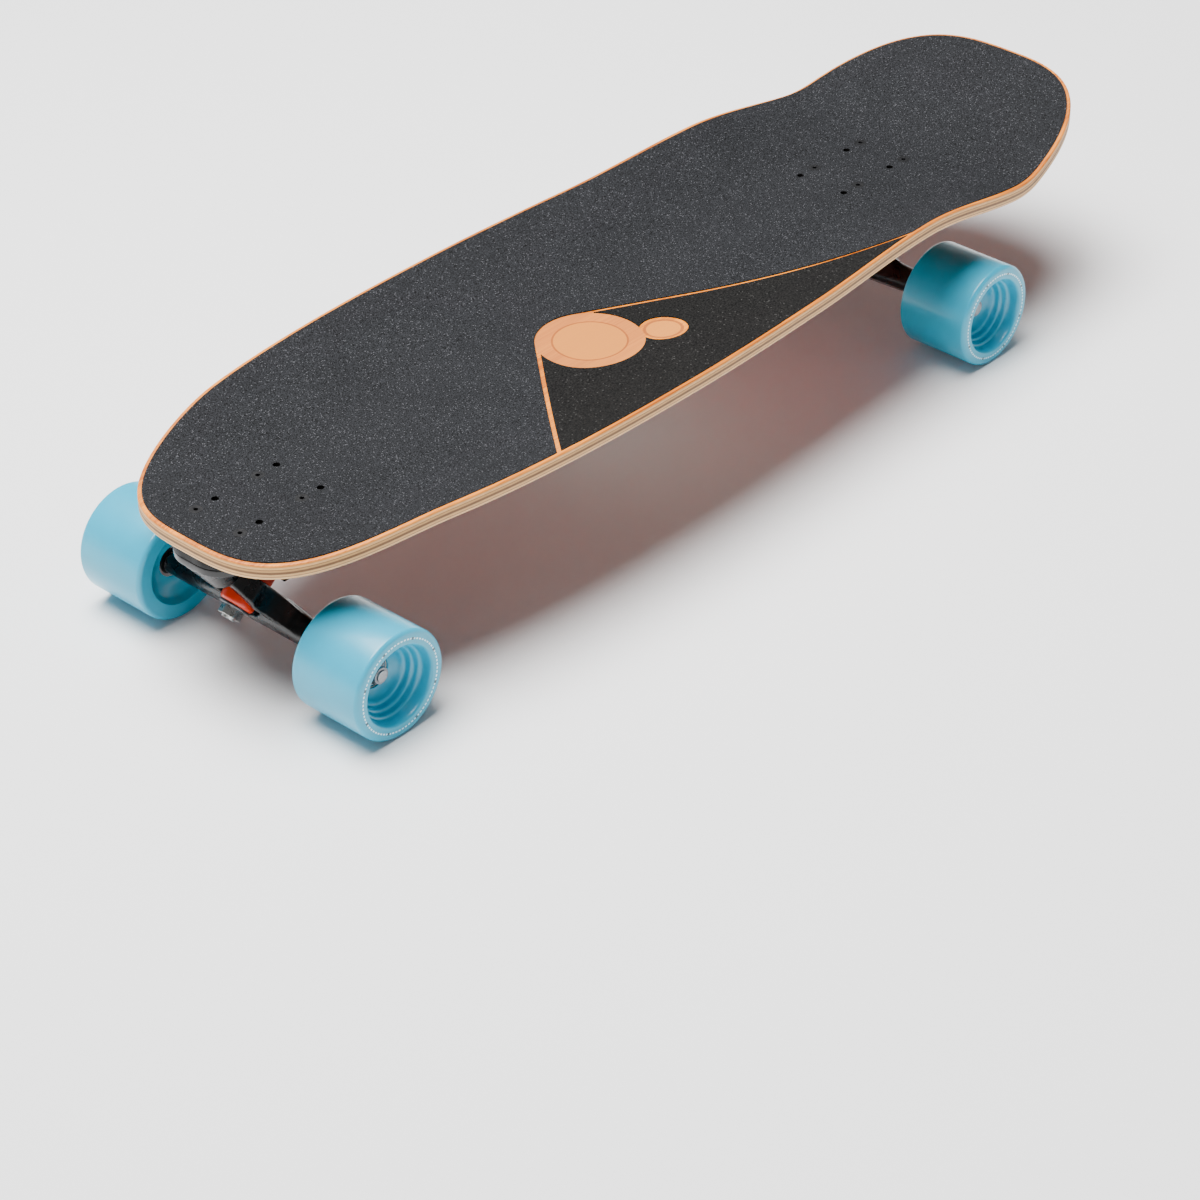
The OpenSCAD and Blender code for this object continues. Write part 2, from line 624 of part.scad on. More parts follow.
// ---------- bearings, centred on their own middle, +Z along the axle ----------
module ball_groove() { rotate_extrude() translate([pitch_r, 0]) circle(r = ball_r + run); }
module inner_race() {
    difference() {
        translate([0, 0, -bearing_w / 2]) tube(inner_land_r, bearing_id / 2, bearing_w);
        ball_groove();
    }
}
module outer_race() {
    difference() {
        translate([0, 0, -bearing_w / 2]) tube(bearing_od / 2 - slip, outer_land_r, bearing_w);
        ball_groove();
        for (z = [-bearing_w / 2 - 1, shield_in]) translate([0, 0, z])
            cylinder(r = outer_land_r + race_edge, h = bearing_w / 2 - shield_in + 1);
    }
}
module shields() {
    for (z = [-shield_in - shield_t, shield_in]) translate([0, 0, z])
        tube(outer_land_r + race_edge - eps, inner_land_r + race_edge, shield_t);
}
module balls() {
    for (k = [0 : ball_count - 1]) rotate(360 / ball_count * k) translate([pitch_r, 0, 0]) sphere(r = ball_r);
}
module cage() {
    difference() {
        translate([0, 0, -cage_open]) tube(outer_land_r - 0.6, inner_land_r + 0.6,
                                          cage_open + ball_r + run + cage_web);
        for (k = [0 : ball_count - 1]) rotate(360 / ball_count * k) translate([pitch_r, 0, 0])
            sphere(r = ball_r + run);
    }
}
module both_bearings() {
    for (z = [-bearing_off, bearing_off]) translate([0, 0, z]) children();
}
module bearing_inner_races(end) {
    color("silver") on_both_sides(end) translate([0, 0, hub_y]) both_bearings() inner_race();
}

// ---------- wheels ----------
module at_hub(corner) {
    at_axle(corner_end(corner), corner_side(corner)) translate([0, 0, hub_y]) children();
}
module wheel_core(corner) {
    color("white") at_hub(corner) difference() {
        union() {
            translate([0, 0, -core_half]) cylinder(r = core_r, h = 2 * core_half);
            for (z = [-6, 0, 6]) translate([0, 0, z - 1]) cylinder(r = core_rib_r, h = 2);
        }
        translate([0, 0, -core_half - 1]) cylinder(r = outer_land_r + race_edge, h = 2 * core_half + 2);
        for (z = [-core_half - 1, spacer_w / 2]) translate([0, 0, z])
            cylinder(r = bearing_od / 2, h = core_half - spacer_w / 2 + 1);
    }
}
// Half-section of the tyre: radius against distance along the axle
function round_corner(r, z, dr, dz, n) = [for (k = [0 : n])
    [r - dr + dr * sin(90 * k / n), z - dz + dz * cos(90 * k / n)]];
function reversed(v) = [for (k = [len(v) - 1 : -1 : 0]) v[k]];
// Steps of the two dishes, as shares of the way from the bearing's side hole to
// the dish's rim and from the dish's floor to the wheel's face
outer_steps = [[0, 0], [0.073, 0], [0.326, 0.109], [0.438, 0.239], [0.551, 0.274], [0.596, 0.435],
    [0.708, 0.47], [0.753, 0.622], [0.876, 0.657], [0.955, 0.948], [1, 1]];
inner_steps = [[0.91, 1], [0.865, 0.868], [0.719, 0.481], [0.326, 0.104], [0.101, 0], [0, 0]];
function dish(steps, floor_z, face_z) = [for (step = steps)
    [side_hole_r + step[0] * (dish_r - side_hole_r), floor_z + step[1] * (face_z - floor_z)]];
function mirrored(v) = [for (p = v) [p[0], -p[1]]];
tyre_section = concat(
    dish(outer_steps, core_half + 1.2, face_out),
    round_corner(wheel_r, face_out, tread_round, tread_round * 0.8, 6),
    reversed(mirrored(round_corner(wheel_r, -face_in, tread_round, tread_round * 0.8, 6))),
    dish(inner_steps, -core_half - 0.6, face_in));
module tyre(corner) {
    color([0.55, 0.82, 0.88]) at_hub(corner) difference() {
        rotate_extrude($fn = 96) polygon(tyre_section);
        translate([0, 0, -core_half - slip]) cylinder(r = core_r + slip, h = 2 * (core_half + slip));
        for (z = [-6, 0, 6]) translate([0, 0, z - 1 - slip]) cylinder(r = core_rib_r + slip, h = 2 + 2 * slip);
    }
}
module bearing_outer_races(corner) { color("silver") at_hub(corner) both_bearings() outer_race(); }
module bearing_shields(corner) { color("black") at_hub(corner) both_bearings() shields(); }
module bearing_balls(corner) { color("white") at_hub(corner) both_bearings() balls(); }
module bearing_cages(corner) { color("goldenrod") at_hub(corner) both_bearings() cage(); }

// ---------- nodes ----------
module end_piece(part, end) {
    if (part == "riser_pad_") riser_pad(end);
    if (part == "baseplate_") baseplate(end);
    if (part == "pivot_cup_") pivot_cup(end);
    if (part == "kingpin_") kingpin(end);
    if (part == "board_bushing_") board_bushing(end);
    if (part == "road_bushing_") road_bushing(end);
    if (part == "board_washer_") board_washer(end);
    if (part == "road_washer_") road_washer(end);
    if (part == "hanger_") hanger(end);
    if (part == "axle_") axle(end);
    if (part == "axle_nuts_") axle_nuts(end);
    if (part == "speed_rings_") speed_rings(end);
    if (part == "bearing_inner_races_") bearing_inner_races(end);
    if (part == "bearing_spacers_") bearing_spacers(end);
}
module corner_piece(part, corner) {
    if (part == "tyre_") tyre(corner);
    if (part == "wheel_core_") wheel_core(corner);
    if (part == "bearing_outer_races_") bearing_outer_races(corner);
    if (part == "bearing_shields_") bearing_shields(corner);
    if (part == "bearing_balls_") bearing_balls(corner);
    if (part == "bearing_cages_") bearing_cages(corner);
}

deck_core();
deck_top_veneer();
deck_bottom_veneer();
grip_tape();
grip_inset();
mounting_bolts();
mounting_nuts();
kingpin_nuts();
for (part = END_PARTS, e = ENDS)
    end_piece(part, end_sign(e));
for (part = CORNER_PARTS, c = CORNERS)
    corner_piece(part, c);
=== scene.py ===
"""Looks of a cruiser longboard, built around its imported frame.

The pressed deck with its grip sheet, the cast trucks, the bushings and the urethane
wheels are modelled here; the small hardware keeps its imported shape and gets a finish.
Sizes are in millimetres and meshes in metres, in the frame's own axes: +X towards the
kicktail, +Y to the left side, +Z up, origin on the ground under the deck's middle.
"""

from __future__ import annotations

import logging
import math
from dataclasses import dataclass, field
from enum import Enum
from typing import Any, Callable, Sequence

import bpy
import numpy as np
from mathutils import Matrix, Vector
from mathutils.geometry import delaunay_2d_cdt

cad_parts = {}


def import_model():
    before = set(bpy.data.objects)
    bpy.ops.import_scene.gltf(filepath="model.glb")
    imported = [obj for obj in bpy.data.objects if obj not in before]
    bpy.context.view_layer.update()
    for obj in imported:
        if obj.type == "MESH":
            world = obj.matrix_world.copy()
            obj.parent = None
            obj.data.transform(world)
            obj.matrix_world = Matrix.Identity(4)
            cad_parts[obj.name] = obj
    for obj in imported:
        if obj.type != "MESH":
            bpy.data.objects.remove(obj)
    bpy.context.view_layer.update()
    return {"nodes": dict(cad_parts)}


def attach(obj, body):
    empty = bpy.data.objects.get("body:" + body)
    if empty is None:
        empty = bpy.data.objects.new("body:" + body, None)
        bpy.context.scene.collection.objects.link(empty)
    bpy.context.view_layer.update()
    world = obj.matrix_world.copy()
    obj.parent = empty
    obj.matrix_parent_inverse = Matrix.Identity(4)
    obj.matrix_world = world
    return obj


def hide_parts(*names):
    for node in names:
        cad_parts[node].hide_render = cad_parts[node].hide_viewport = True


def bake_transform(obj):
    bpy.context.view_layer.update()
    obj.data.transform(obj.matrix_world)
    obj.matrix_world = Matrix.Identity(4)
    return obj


LOG = logging.getLogger("longboard")
MM = 0.001
# Attributes of the deck's meshes: height in the core, and 1 on the walls of its holes, which get
# painted shade.
PLY_HEIGHT = "ply_height"
DRILLED = "drilled_wall"
# Middle between the axles, from the deck's middle, and the distance between them, in mm.
MID = -62.5
WHEELBASE = 620.0
# Span that most of a noise's values lie in.
NOISE_SPAN = (0.3, 0.7)
# How deep red, green and blue light goes into urethane, as shares of the finish's depth.
DEPTH_BY_CHANNEL = (0.8, 1.0, 1.0)
# Near black painted shade laid on the walls of the holes.
PAINTED_SHADE_INK = "0B0908"
# Vertices nearer than this are one, in metres, and edges sharper than this are broken.
WELD_M = 1e-6
BEVEL_OVER_DEG = 38.0
INK_BLUR_MM = 0.2
Points = np.ndarray
Socket = bpy.types.NodeSocket
Frame = dict[str, Any]


class End(Enum):
    """The two ends of the board, with the direction of each along X."""

    NOSE = -1
    TAIL = 1

    @property
    def label(self) -> str:
        """The end's name in node and body names."""
        return self.name.lower()

    @property
    def axle(self) -> float:
        """Place of the end's axle along X, in mm."""
        return MID + self.value * WHEELBASE / 2


class Side(Enum):
    """The two sides of the board, with the direction of each along Y."""

    RIGHT = -1
    LEFT = 1

    @property
    def label(self) -> str:
        """The side's name in node and body names."""
        return self.name.lower()


# ---------------------------------------------------------------- shader tools


def linear(hex_code: str) -> tuple[float, float, float, float]:
    """Turns an sRGB hex colour to linear light.

    Args:
        hex_code: six hex digits.

    Returns:
        Linear red, green and blue, and an alpha of 1.
    """
    srgb = [int(hex_code[k : k + 2], 16) / 255 for k in (0, 2, 4)]
    light = [c / 12.92 if c <= 0.04045 else ((c + 0.055) / 1.055) ** 2.4 for c in srgb]
    return (light[0], light[1], light[2], 1.0)


@dataclass(frozen=True)
class Disc:
    """A printed disc of see-through ink, in mm."""

    x: float
    y: float
    radius: float
    colour: str
    cover: float


@dataclass(frozen=True)
class Graph:
    """A node tree, with the steps that the finishes share."""

    tree: bpy.types.NodeTree

    @property
    def shader(self) -> bpy.types.Node:
        """The material's principled shader."""
        return self.tree.nodes["Principled BSDF"]

    def node(
        self,
        kind: str,
        settings: dict[Any, Any] | None = None,
        links: dict[Any, Socket] | None = None,
    ) -> bpy.types.Node:
        """Adds a node with its settings and links.

        Args:
            kind: the node's type, without the ShaderNode prefix.
            settings: attributes, input values, and colour stops under "stops".
            links: the output that feeds each named or numbered input.

        Returns:
            The new node.
        """
        made = self.tree.nodes.new("ShaderNode" + kind)
        for key, value in (settings or {}).items():
            if key == "stops":
                ramp = made.color_ramp
                while len(ramp.elements) < len(value):
                    ramp.elements.new(1.0)
                for element, (place, colour) in zip(ramp.elements, value):
                    element.position = place
                    element.color = linear(colour)
            elif isinstance(key, str) and hasattr(made, key):
                setattr(made, key, value)
            else:
                made.inputs[key].default_value = value
        for key, source in (links or {}).items():
            self.tree.links.new(source, made.inputs[key])
        return made

    def maths(self, operation: str, *terms: float | Socket) -> Socket:
        """Works out a value.

        Args:
            operation: the maths node's operation.
            terms: a number or a node's output for each of its inputs.

        Returns:
            The value.
        """
        links = {k: t for k, t in enumerate(terms) if isinstance(t, bpy.types.NodeSocket)}
        numbers = {k: t for k, t in enumerate(terms) if k not in links}
        return self.node("Math", {"operation": operation, **numbers}, links).outputs[0]

    def mixed(self, first: Socket, second: Socket, share: float) -> Socket:
        """Adds two values, the first one with the given share of the sum."""
        rest = self.maths("MULTIPLY", second, 1 - share)
        return self.maths("MULTIPLY_ADD", first, share, rest)

    def ranged(
        self, value: Socket, span: tuple[float, float], result: tuple[float, float]
    ) -> Socket:
        """Maps one span of a value onto another, and holds it at both ends."""
        ends = zip(("From Min", "From Max", "To Min", "To Max"), (*span, *result))
        return self.node("MapRange", dict(ends), {"Value": value}).outputs[0]

    def ramp(self, value: Socket, stops: Sequence[tuple[float, str]]) -> Socket:
        """Colours a value by its colour stops."""
        return self.node("ValToRGB", {"stops": stops}, {"Fac": value}).outputs[0]

    def shaded(self, colour: str | Socket, level: Socket) -> Socket:
        """Multiplies the brightness of a hex colour, or of a node's colour, by a level."""
        if isinstance(colour, str):
            return self.node("HueSaturation", {"Color": linear(colour)}, {"Value": level}).outputs[0]
        return self.node("HueSaturation", {}, {"Color": colour, "Value": level}).outputs[0]

    def inked(self, under: Socket, ink: str, cover: Socket) -> Socket:
        """Lays an ink over a colour, as thickly as its cover says."""
        settings = {"data_type": "RGBA", "B": linear(ink)}
        return self.node("Mix", settings, {"Factor": cover, "A": under}).outputs["Result"]

    def place(self) -> Socket:
        """Returns the piece's own coordinates, in metres."""
        return self.node("TexCoord").outputs["Object"]

    def flat(self, place: Socket) -> Socket:
        """Returns coordinates with their Z set to nought."""
        settings = {"operation": "MULTIPLY", 1: (1, 1, 0)}
        return self.node("VectorMath", settings, {0: place}).outputs[0]

    def noise(
        self,
        place: Socket,
        size_mm: float,
        stretch: tuple[float, float, float] = (1.0, 1.0, 1.0),
        detail: float = 3.0,
        warp: float = 0.0,
    ) -> Socket:
        """Adds a noise whose blots have a real size.

        Args:
            place: coordinates in metres.
            size_mm: size of a blot across.
            stretch: how many times longer a blot is along each axis.
            detail: finer layers.
            warp: how much the noise bends itself.

        Returns:
            The noise's value, from 0 to 1.
        """
        scale = tuple(1 / (size_mm * MM * s) for s in stretch)
        spread = self.node("Mapping", {"Scale": scale}, {"Vector": place}).outputs[0]
        settings = {"Scale": 1.0, "Detail": detail, "Distortion": warp}
        return self.node("TexNoise", settings, {"Vector": spread}).outputs["Fac"]

    def drilled(self, colour: Socket) -> Socket:
        """Darkens the walls of the bolt holes to near black with painted shade, where shade falls in
        the holes.
        """
        wall = self.node("Attribute", {"attribute_name": DRILLED}).outputs["Fac"]
        return self.inked(colour, PAINTED_SHADE_INK, wall)

    def printed(self, place: Socket, under: Socket, discs: Sequence[Disc]) -> Socket:
        """Prints discs over a colour, the first one lowest.

        Args:
            place: the piece's coordinates.
            under: the colour under the discs.
            discs: the discs.

        Returns:
            The colour with the discs on it.
        """
        for disc in discs:
            settings = {"operation": "DISTANCE", 1: (disc.x * MM, disc.y * MM, 0)}
            away = self.node("VectorMath", settings, {0: self.flat(place)}).outputs["Value"]
            rim = ((disc.radius - INK_BLUR_MM) * MM, (disc.radius + INK_BLUR_MM) * MM)
            under = self.inked(under, disc.colour, self.ranged(away, rim, (disc.cover, 0.0)))
        return under

    def paint(self, colour: Socket) -> None:
        """Makes a colour the shader's own."""
        self.tree.links.new(colour, self.shader.inputs["Base Color"])

    def relief(self, height: Socket, rise_mm: float) -> None:
        """Raises the surface with a noise, whose full range rises by rise_mm."""
        bump = self.node("Bump", {"Strength": 1.0, "Distance": rise_mm * MM}, {"Height": height})
        self.tree.links.new(bump.outputs[0], self.shader.inputs["Normal"])


# ---------------------------------------------------------------- finishes


@dataclass(frozen=True)
class Finish:
    """A finish with one colour, a little uneven in tone and gloss as every real one is."""

    name: str
    colour: str
    roughness: float
    metallic: float = 0.0
    ior: float = 1.5
    coat: float = 0.0
    coat_roughness: float = 0.1
    depth_mm: float = 0.0
    depth_weight: float = 0.0
    uneven_mm: float = 12.0
    uneven: float = 0.06
    grain_mm: float = 0.8
    grain_rise_mm: float = 0.0

    def material(self) -> bpy.types.Material:
        """Returns the finish's material, made the first time it is asked for."""
        found = bpy.data.materials.get(self.name)
        if found is not None:
            return found
        made = bpy.data.materials.new(self.name)
        made.use_nodes = True
        made.diffuse_color = linear(self.colour)
        graph = Graph(made.node_tree)
        values: dict[str, Any] = {
            "Base Color": linear(self.colour),
            "Roughness": self.roughness,
            "Metallic": self.metallic,
            "Coat Weight": self.coat,
            "Coat Roughness": self.coat_roughness,
        }
        if self.metallic < 0.5:
            values["IOR"] = self.ior
        if self.depth_weight:
            values["Subsurface Weight"] = self.depth_weight
            values["Subsurface Radius"] = DEPTH_BY_CHANNEL
            values["Subsurface Scale"] = self.depth_mm * MM
        for key, value in values.items():
            graph.shader.inputs[key].default_value = value
        self.dress(graph)
        return made

    def dress(self, graph: Graph) -> None:
        """Adds the finish's own pattern."""
        place = graph.place()
        graph.paint(self.drifting(graph, place))
        if self.grain_rise_mm:
            graph.relief(graph.noise(place, self.grain_mm), self.grain_rise_mm)

    def drifting(self, graph: Graph, place: Socket) -> Socket:
        """Lets the gloss drift a little with a noise.

        Args:
            graph: the material's graph.
            place: the piece's coordinates.

        Returns:
            The finish's colour, which drifts with the same noise.
        """
        drift = graph.noise(place, self.uneven_mm)
        level = graph.ranged(drift, NOISE_SPAN, (1 - self.uneven, 1 + self.uneven))
        gloss = graph.maths("MULTIPLY", level, self.roughness)
        graph.tree.links.new(gloss, graph.shader.inputs["Roughness"])
        return graph.shaded(self.colour, level)


@dataclass(frozen=True)
class GritSheet(Finish):
    """Silicon carbide grit glued on a sheet: black grains, a share of them with painted glints.

    80 grit is 0.2 mm. It is drawn four to six times coarser, so that it still shows.
    """

    grit_mm: float = 1.0
    cell_share: float = 1.1
    cloud_mm: float = 45.0
    dark: str = "2B2A2D"
    light: str = "77747B"
    # Colour of the painted highlights on the glinting grains.
    painted_glint: str = "C9C7CE"
    painted_glint_share: float = 0.10
    painted_glint_reach: float = 0.42
    painted_glint_cover: float = 0.55

    def dress(self, graph: Graph) -> None:
        """Adds the grains, their painted glints, which are painted highlights, and broad clouds of
        tone.
        """
        place = graph.place()
        grains = graph.noise(place, self.grit_mm, detail=2.0)
        base = graph.ramp(grains, [(0.34, self.dark), (0.66, self.light)])
        scale = 1 / (self.grit_mm * self.cell_share * MM)
        cells = graph.node("TexVoronoi", {"Scale": scale}, {"Vector": place}).outputs
        apart = graph.node("SeparateColor", {}, {"Color": cells["Color"]}).outputs
        # Painted highlights: a share of the grains gets a pale glint mixed into its colour.
        chosen = graph.maths("LESS_THAN", apart[0], self.painted_glint_share)
        near = graph.maths("LESS_THAN", cells["Distance"], self.painted_glint_reach)
        painted_spark = graph.maths("MULTIPLY", graph.maths("MULTIPLY", chosen, near), self.painted_glint_cover)
        lit = graph.inked(base, self.painted_glint, painted_spark)
        clouds = graph.noise(place, self.cloud_mm, detail=2.0)
        tone = graph.shaded(lit, graph.ranged(clouds, NOISE_SPAN, (0.93, 1.07)))
        graph.paint(graph.drilled(tone))
        graph.relief(grains, self.grain_rise_mm)


@dataclass(frozen=True)
class BambooVeneer(Finish):
    """Sliced bamboo under satin lacquer: straight fibres and darker strip joints."""

    fibre_mm: float = 1.3
    strip_mm: float = 17.0
    fibre_share: float = 0.6
    dark: str = "D98A45"
    light: str = "F2B877"
    discs: tuple[Disc, ...] = ()

    def dress(self, graph: Graph) -> None:
        """Adds the fibres, the strips and the tints printed inside the bare discs."""
        place = graph.place()
        fibres = graph.noise(place, self.fibre_mm, (60, 1, 6), 4.0)
        strips = graph.noise(place, self.strip_mm, (30, 1, 30), 0.0)
        both = graph.mixed(fibres, strips, self.fibre_share)
        wood = graph.ramp(both, [(0.36, self.dark), (0.62, self.light)])
        graph.paint(graph.drilled(graph.printed(place, wood, self.discs)))
        graph.relief(fibres, self.grain_rise_mm)


@dataclass(frozen=True)
class RosewoodVeneer(Finish):
    """Sliced rosewood under gloss lacquer: long red-brown, orange and near-black streaks."""

    streak_mm: float = 7.0
    broad_share: float = 0.68
    sway_mm: float = 45.0
    sway_length_mm: float = 120.0
    pore_mm: float = 0.5
    tones: tuple[tuple[float, str], ...] = (
        (0.34, "1C0B07"), (0.42, "4A190D"), (0.49, "7A2E15"),
        (0.55, "94421C"), (0.61, "B8602A"), (0.70, "C77A3C"),
    )
    discs: tuple[Disc, ...] = ()

    def dress(self, graph: Graph) -> None:
        """Adds the streaks, the pores and the printed discs."""
        place = graph.place()
        bent = graph.noise(place, self.sway_length_mm, (3, 1, 1), 2.0)
        sway = graph.node("CombineXYZ", {}, {"Y": graph.maths("MULTIPLY", bent, self.sway_mm * MM)})
        links = {0: place, 1: sway.outputs[0]}
        along = graph.node("VectorMath", {"operation": "ADD"}, links).outputs[0]
        broad = graph.noise(along, self.streak_mm * 2.2, (26, 1, 26), 5.0, 0.3)
        fine = graph.noise(along, self.streak_mm * 0.45, (60, 1, 60), 4.0)
        pores = graph.noise(along, self.pore_mm, (45, 1, 45), 2.0)
        wood = graph.ramp(graph.mixed(broad, fine, self.broad_share), self.tones)
        wood = graph.shaded(wood, graph.ranged(pores, (0.30, 0.44), (0.72, 1.0)))
        graph.paint(graph.drilled(graph.printed(place, wood, self.discs)))
        graph.relief(pores, self.grain_rise_mm)


@dataclass(frozen=True)
class PressedPlies(Finish):
    """The sanded edge of a pressed core: pale and brown plies, each with its end grain."""

    plies: tuple[tuple[float, str], ...] = ()
    seam_mm: float = 0.06
    wander_mm: float = 0.4

    def stops(self) -> list[tuple[float, str]]:
        """Colour stops that give each ply its band, with a thin blend between bands."""
        total, low, stops = self.total, 0.0, []
        for thick, colour in self.plies:
            stops.append(((low + self.seam_mm) / total, colour))
            stops.append(((low + thick - self.seam_mm) / total, colour))
            low += thick
        return stops

    @property
    def total(self) -> float:
        """Thickness of all plies."""
        return sum(thick for thick, _ in self.plies)

    def dress(self, graph: Graph) -> None:
        """Adds the plies by their height in the core, with streaks along the edge."""
        place = graph.place()
        height = graph.node("Attribute", {"attribute_name": PLY_HEIGHT}).outputs["Fac"]
        wander = graph.noise(place, 14.0, (3, 3, 1), 2.0)
        spread = self.wander_mm * MM
        shifted = graph.maths("ADD", height, graph.maths("MULTIPLY_ADD", wander, spread, -spread / 2))
        layers = graph.ramp(graph.maths("DIVIDE", shifted, self.total * MM), self.stops())
        grain = graph.noise(place, 0.7, (7, 7, 1), 3.0)
        tone = graph.shaded(layers, graph.ranged(grain, NOISE_SPAN, (0.86, 1.1)))
        graph.paint(graph.drilled(tone))
        graph.relief(grain, self.grain_rise_mm)


@dataclass(frozen=True)
class MarkRing:
    """A ring of equal printed marks, with half of each mark's width and height.

    The start and the half width are shares of one mark's place in the ring.
    """

    count: int
    start: float
    half_width: float
    half_mm: float
    ink: str


@dataclass(frozen=True)
class PrintedUrethane(Finish):
    """Cast urethane with a row of small printed marks round the outer lip.

    The marks are plain dots and dashes. Coordinates are the wheel's own, +Z outwards.
    """

    lip_mm: float = 33.0
    face_mm: float = 30.0
    rings: tuple[MarkRing, ...] = ()

    def dress(self, graph: Graph) -> None:
        """Adds a soft drift of tone and the printed marks."""
        place = graph.place()
        tone = self.drifting(graph, place)
        apart = graph.node("SeparateXYZ", {}, {"Vector": place}).outputs
        turn = graph.maths("ARCTAN2", apart["Y"], apart["X"])
        length = graph.node("VectorMath", {"operation": "LENGTH"}, {0: graph.flat(place)})
        outer = graph.maths("GREATER_THAN", apart["Z"], self.face_mm * MM)
        for ring in self.rings:
            turns = graph.maths("MULTIPLY_ADD", turn, ring.count / math.tau, ring.start)
            wide = graph.maths("COMPARE", graph.maths("FRACT", turns), 0.5, ring.half_width)
            reach = (length.outputs["Value"], self.lip_mm * MM, ring.half_mm * MM)
            mark = graph.maths("MULTIPLY", wide, graph.maths("COMPARE", *reach))
            tone = graph.inked(tone, ring.ink, graph.maths("MULTIPLY", mark, outer))
        graph.paint(tone)


# The two bare discs of the grip sheet: place and radius, in mm.
LARGE_DISC = (-76.5, -24.5, 38.25)
SMALL_DISC = (-32.07, -52.48, 17.25)

# Black grit glued on a tough film: dull and speckled, with pale painted highlights, painted glints,
# on a few grains.
GRIP = GritSheet(
    "grip_grit", "191919", 0.75, ior=1.2, grain_rise_mm=0.2,
    grit_mm=0.85, dark="030303", light="2E2F32", painted_glint="68686C", painted_glint_share=0.09,
)
# The same grit, coarser and blacker, as on a diecut inset.
COARSE_GRIP = GritSheet(
    "grip_coarse_grit", "121212", 0.8, ior=1.2, grain_rise_mm=0.3,
    grit_mm=1.2, dark="030303", light="201F1E", painted_glint="504F4D", painted_glint_share=0.05,
)
# Sliced bamboo with satin lacquer: warm orange, straight fibres; the discs are tinted.
BAMBOO = BambooVeneer(
    "sliced_bamboo_satin_lacquer", "DB7E1E", 0.45, ior=1.4, grain_rise_mm=0.03,
    dark="AE560A", light="E88C2A",
    discs=(
        Disc(*LARGE_DISC, "BE7238", 0.7),
        Disc(*LARGE_DISC[:2], 26.8, "8A4216", 0.65),
        Disc(*LARGE_DISC[:2], 25.4, "E08E38", 0.62),
        Disc(*SMALL_DISC[:2], 14.2, "985226", 0.8),
        Disc(*SMALL_DISC[:2], 12.0, "E08E38", 0.7),
    ),
)
# Sliced rosewood with gloss lacquer: deep reds with dark streaks under a clear shine.
ROSEWOOD = RosewoodVeneer(
    "sliced_rosewood_gloss_lacquer", "6A2812", 0.38, coat=0.6, coat_roughness=0.08,
    grain_rise_mm=0.02,
    discs=(
        Disc(37, -12, 101, "D9B8A0", 0.28),
        Disc(98, -36, 93, "A82A26", 0.55),
        Disc(-12, 20, 42, "BFF0E8", 0.96),
    ),
)
# Pressed hardwood plies sanded at the edge: matt pale bands with brown bands between.
PLIES = PressedPlies(
    "pressed_plies", "D9B98C", 0.55, grain_rise_mm=0.05,
    plies=(
        (1.7, "DDB27C"), (0.5, "8E6231"), (1.5, "CFA066"), (1.75, "6F4A22"),
        (1.4, "BE8C4E"), (0.5, "7E5527"), (1.5, "D8A768"), (0.85, "CC8434"),
    ),
)
# Cast aluminium with gloss powder coat: near black, a slight orange peel in the shine.
POWDER_COAT = Finish(
    "black_powder_coat", "070708", 0.28, ior=1.42, coat=0.2, coat_roughness=0.1,
    uneven=0.15, grain_mm=1.6, grain_rise_mm=0.02,
)
# Bright zinc plate on steel: pale grey metal with soft reflections.
ZINC = Finish("zinc_plate", "C9C9C6", 0.28, metallic=1.0, uneven_mm=3.0, uneven=0.12)
# Dull zinc on stamped washers and axle nuts: darker and rougher than the bright plate.
DULL_ZINC = Finish("dull_zinc_plate", "85868A", 0.42, metallic=1.0, uneven_mm=2.5, uneven=0.18)
# Black oxide on screws: almost black and dull, with a faint oily sheen.
BLACK_OXIDE = Finish("black_oxide", "121214", 0.45, metallic=0.2, uneven_mm=2.0, uneven=0.2)
# Turned steel axle: mid-grey metal.
AXLE_STEEL = Finish("turned_steel", "8F9092", 0.33, metallic=1.0, uneven_mm=2.0, uneven=0.15)
# Hardened and ground bearing steel: bright, nearly a mirror.
BEARING_STEEL = Finish("ground_bearing_steel", "D4D4D6", 0.16, metallic=1.0, uneven_mm=4.0)
# Turned aluminium spacer: pale satin metal.
TURNED_ALUMINIUM = Finish("turned_aluminium", "CFCFD2", 0.3, metallic=1.0, uneven_mm=3.0)
# Nitrile rubber seal: black and slightly shiny.
SEAL_RUBBER = Finish("nitrile_seal", "131314", 0.42, uneven_mm=3.0, uneven=0.1)
# Moulded rubber pad: black, matt, with a fine skin.
PAD_RUBBER = Finish(
    "moulded_rubber", "0B0B0C", 0.6, ior=1.35, uneven_mm=8.0, uneven=0.12, grain_mm=0.9,
    grain_rise_mm=0.04,
)
# Moulded nylon: ivory core and tan bearing cage.
CORE_NYLON = Finish("moulded_nylon_ivory", "E6E6E0", 0.45, uneven_mm=8.0)
CAGE_NYLON = Finish("moulded_nylon_tan", "B89B5E", 0.45, uneven_mm=4.0)
# Cast urethane of the pivot cup: dark and dull.
CUP_URETHANE = Finish("cast_urethane_black", "1C1C1E", 0.5, uneven_mm=6.0)
# Cast urethane bushing: clear orange-red that lets light a little way in.
BUSHING_URETHANE = Finish(
    "cast_urethane_orange", "DC3208", 0.32, depth_mm=2.0, depth_weight=0.35, coat=0.2,
    coat_roughness=0.15, uneven_mm=7.0, uneven=0.05,
)
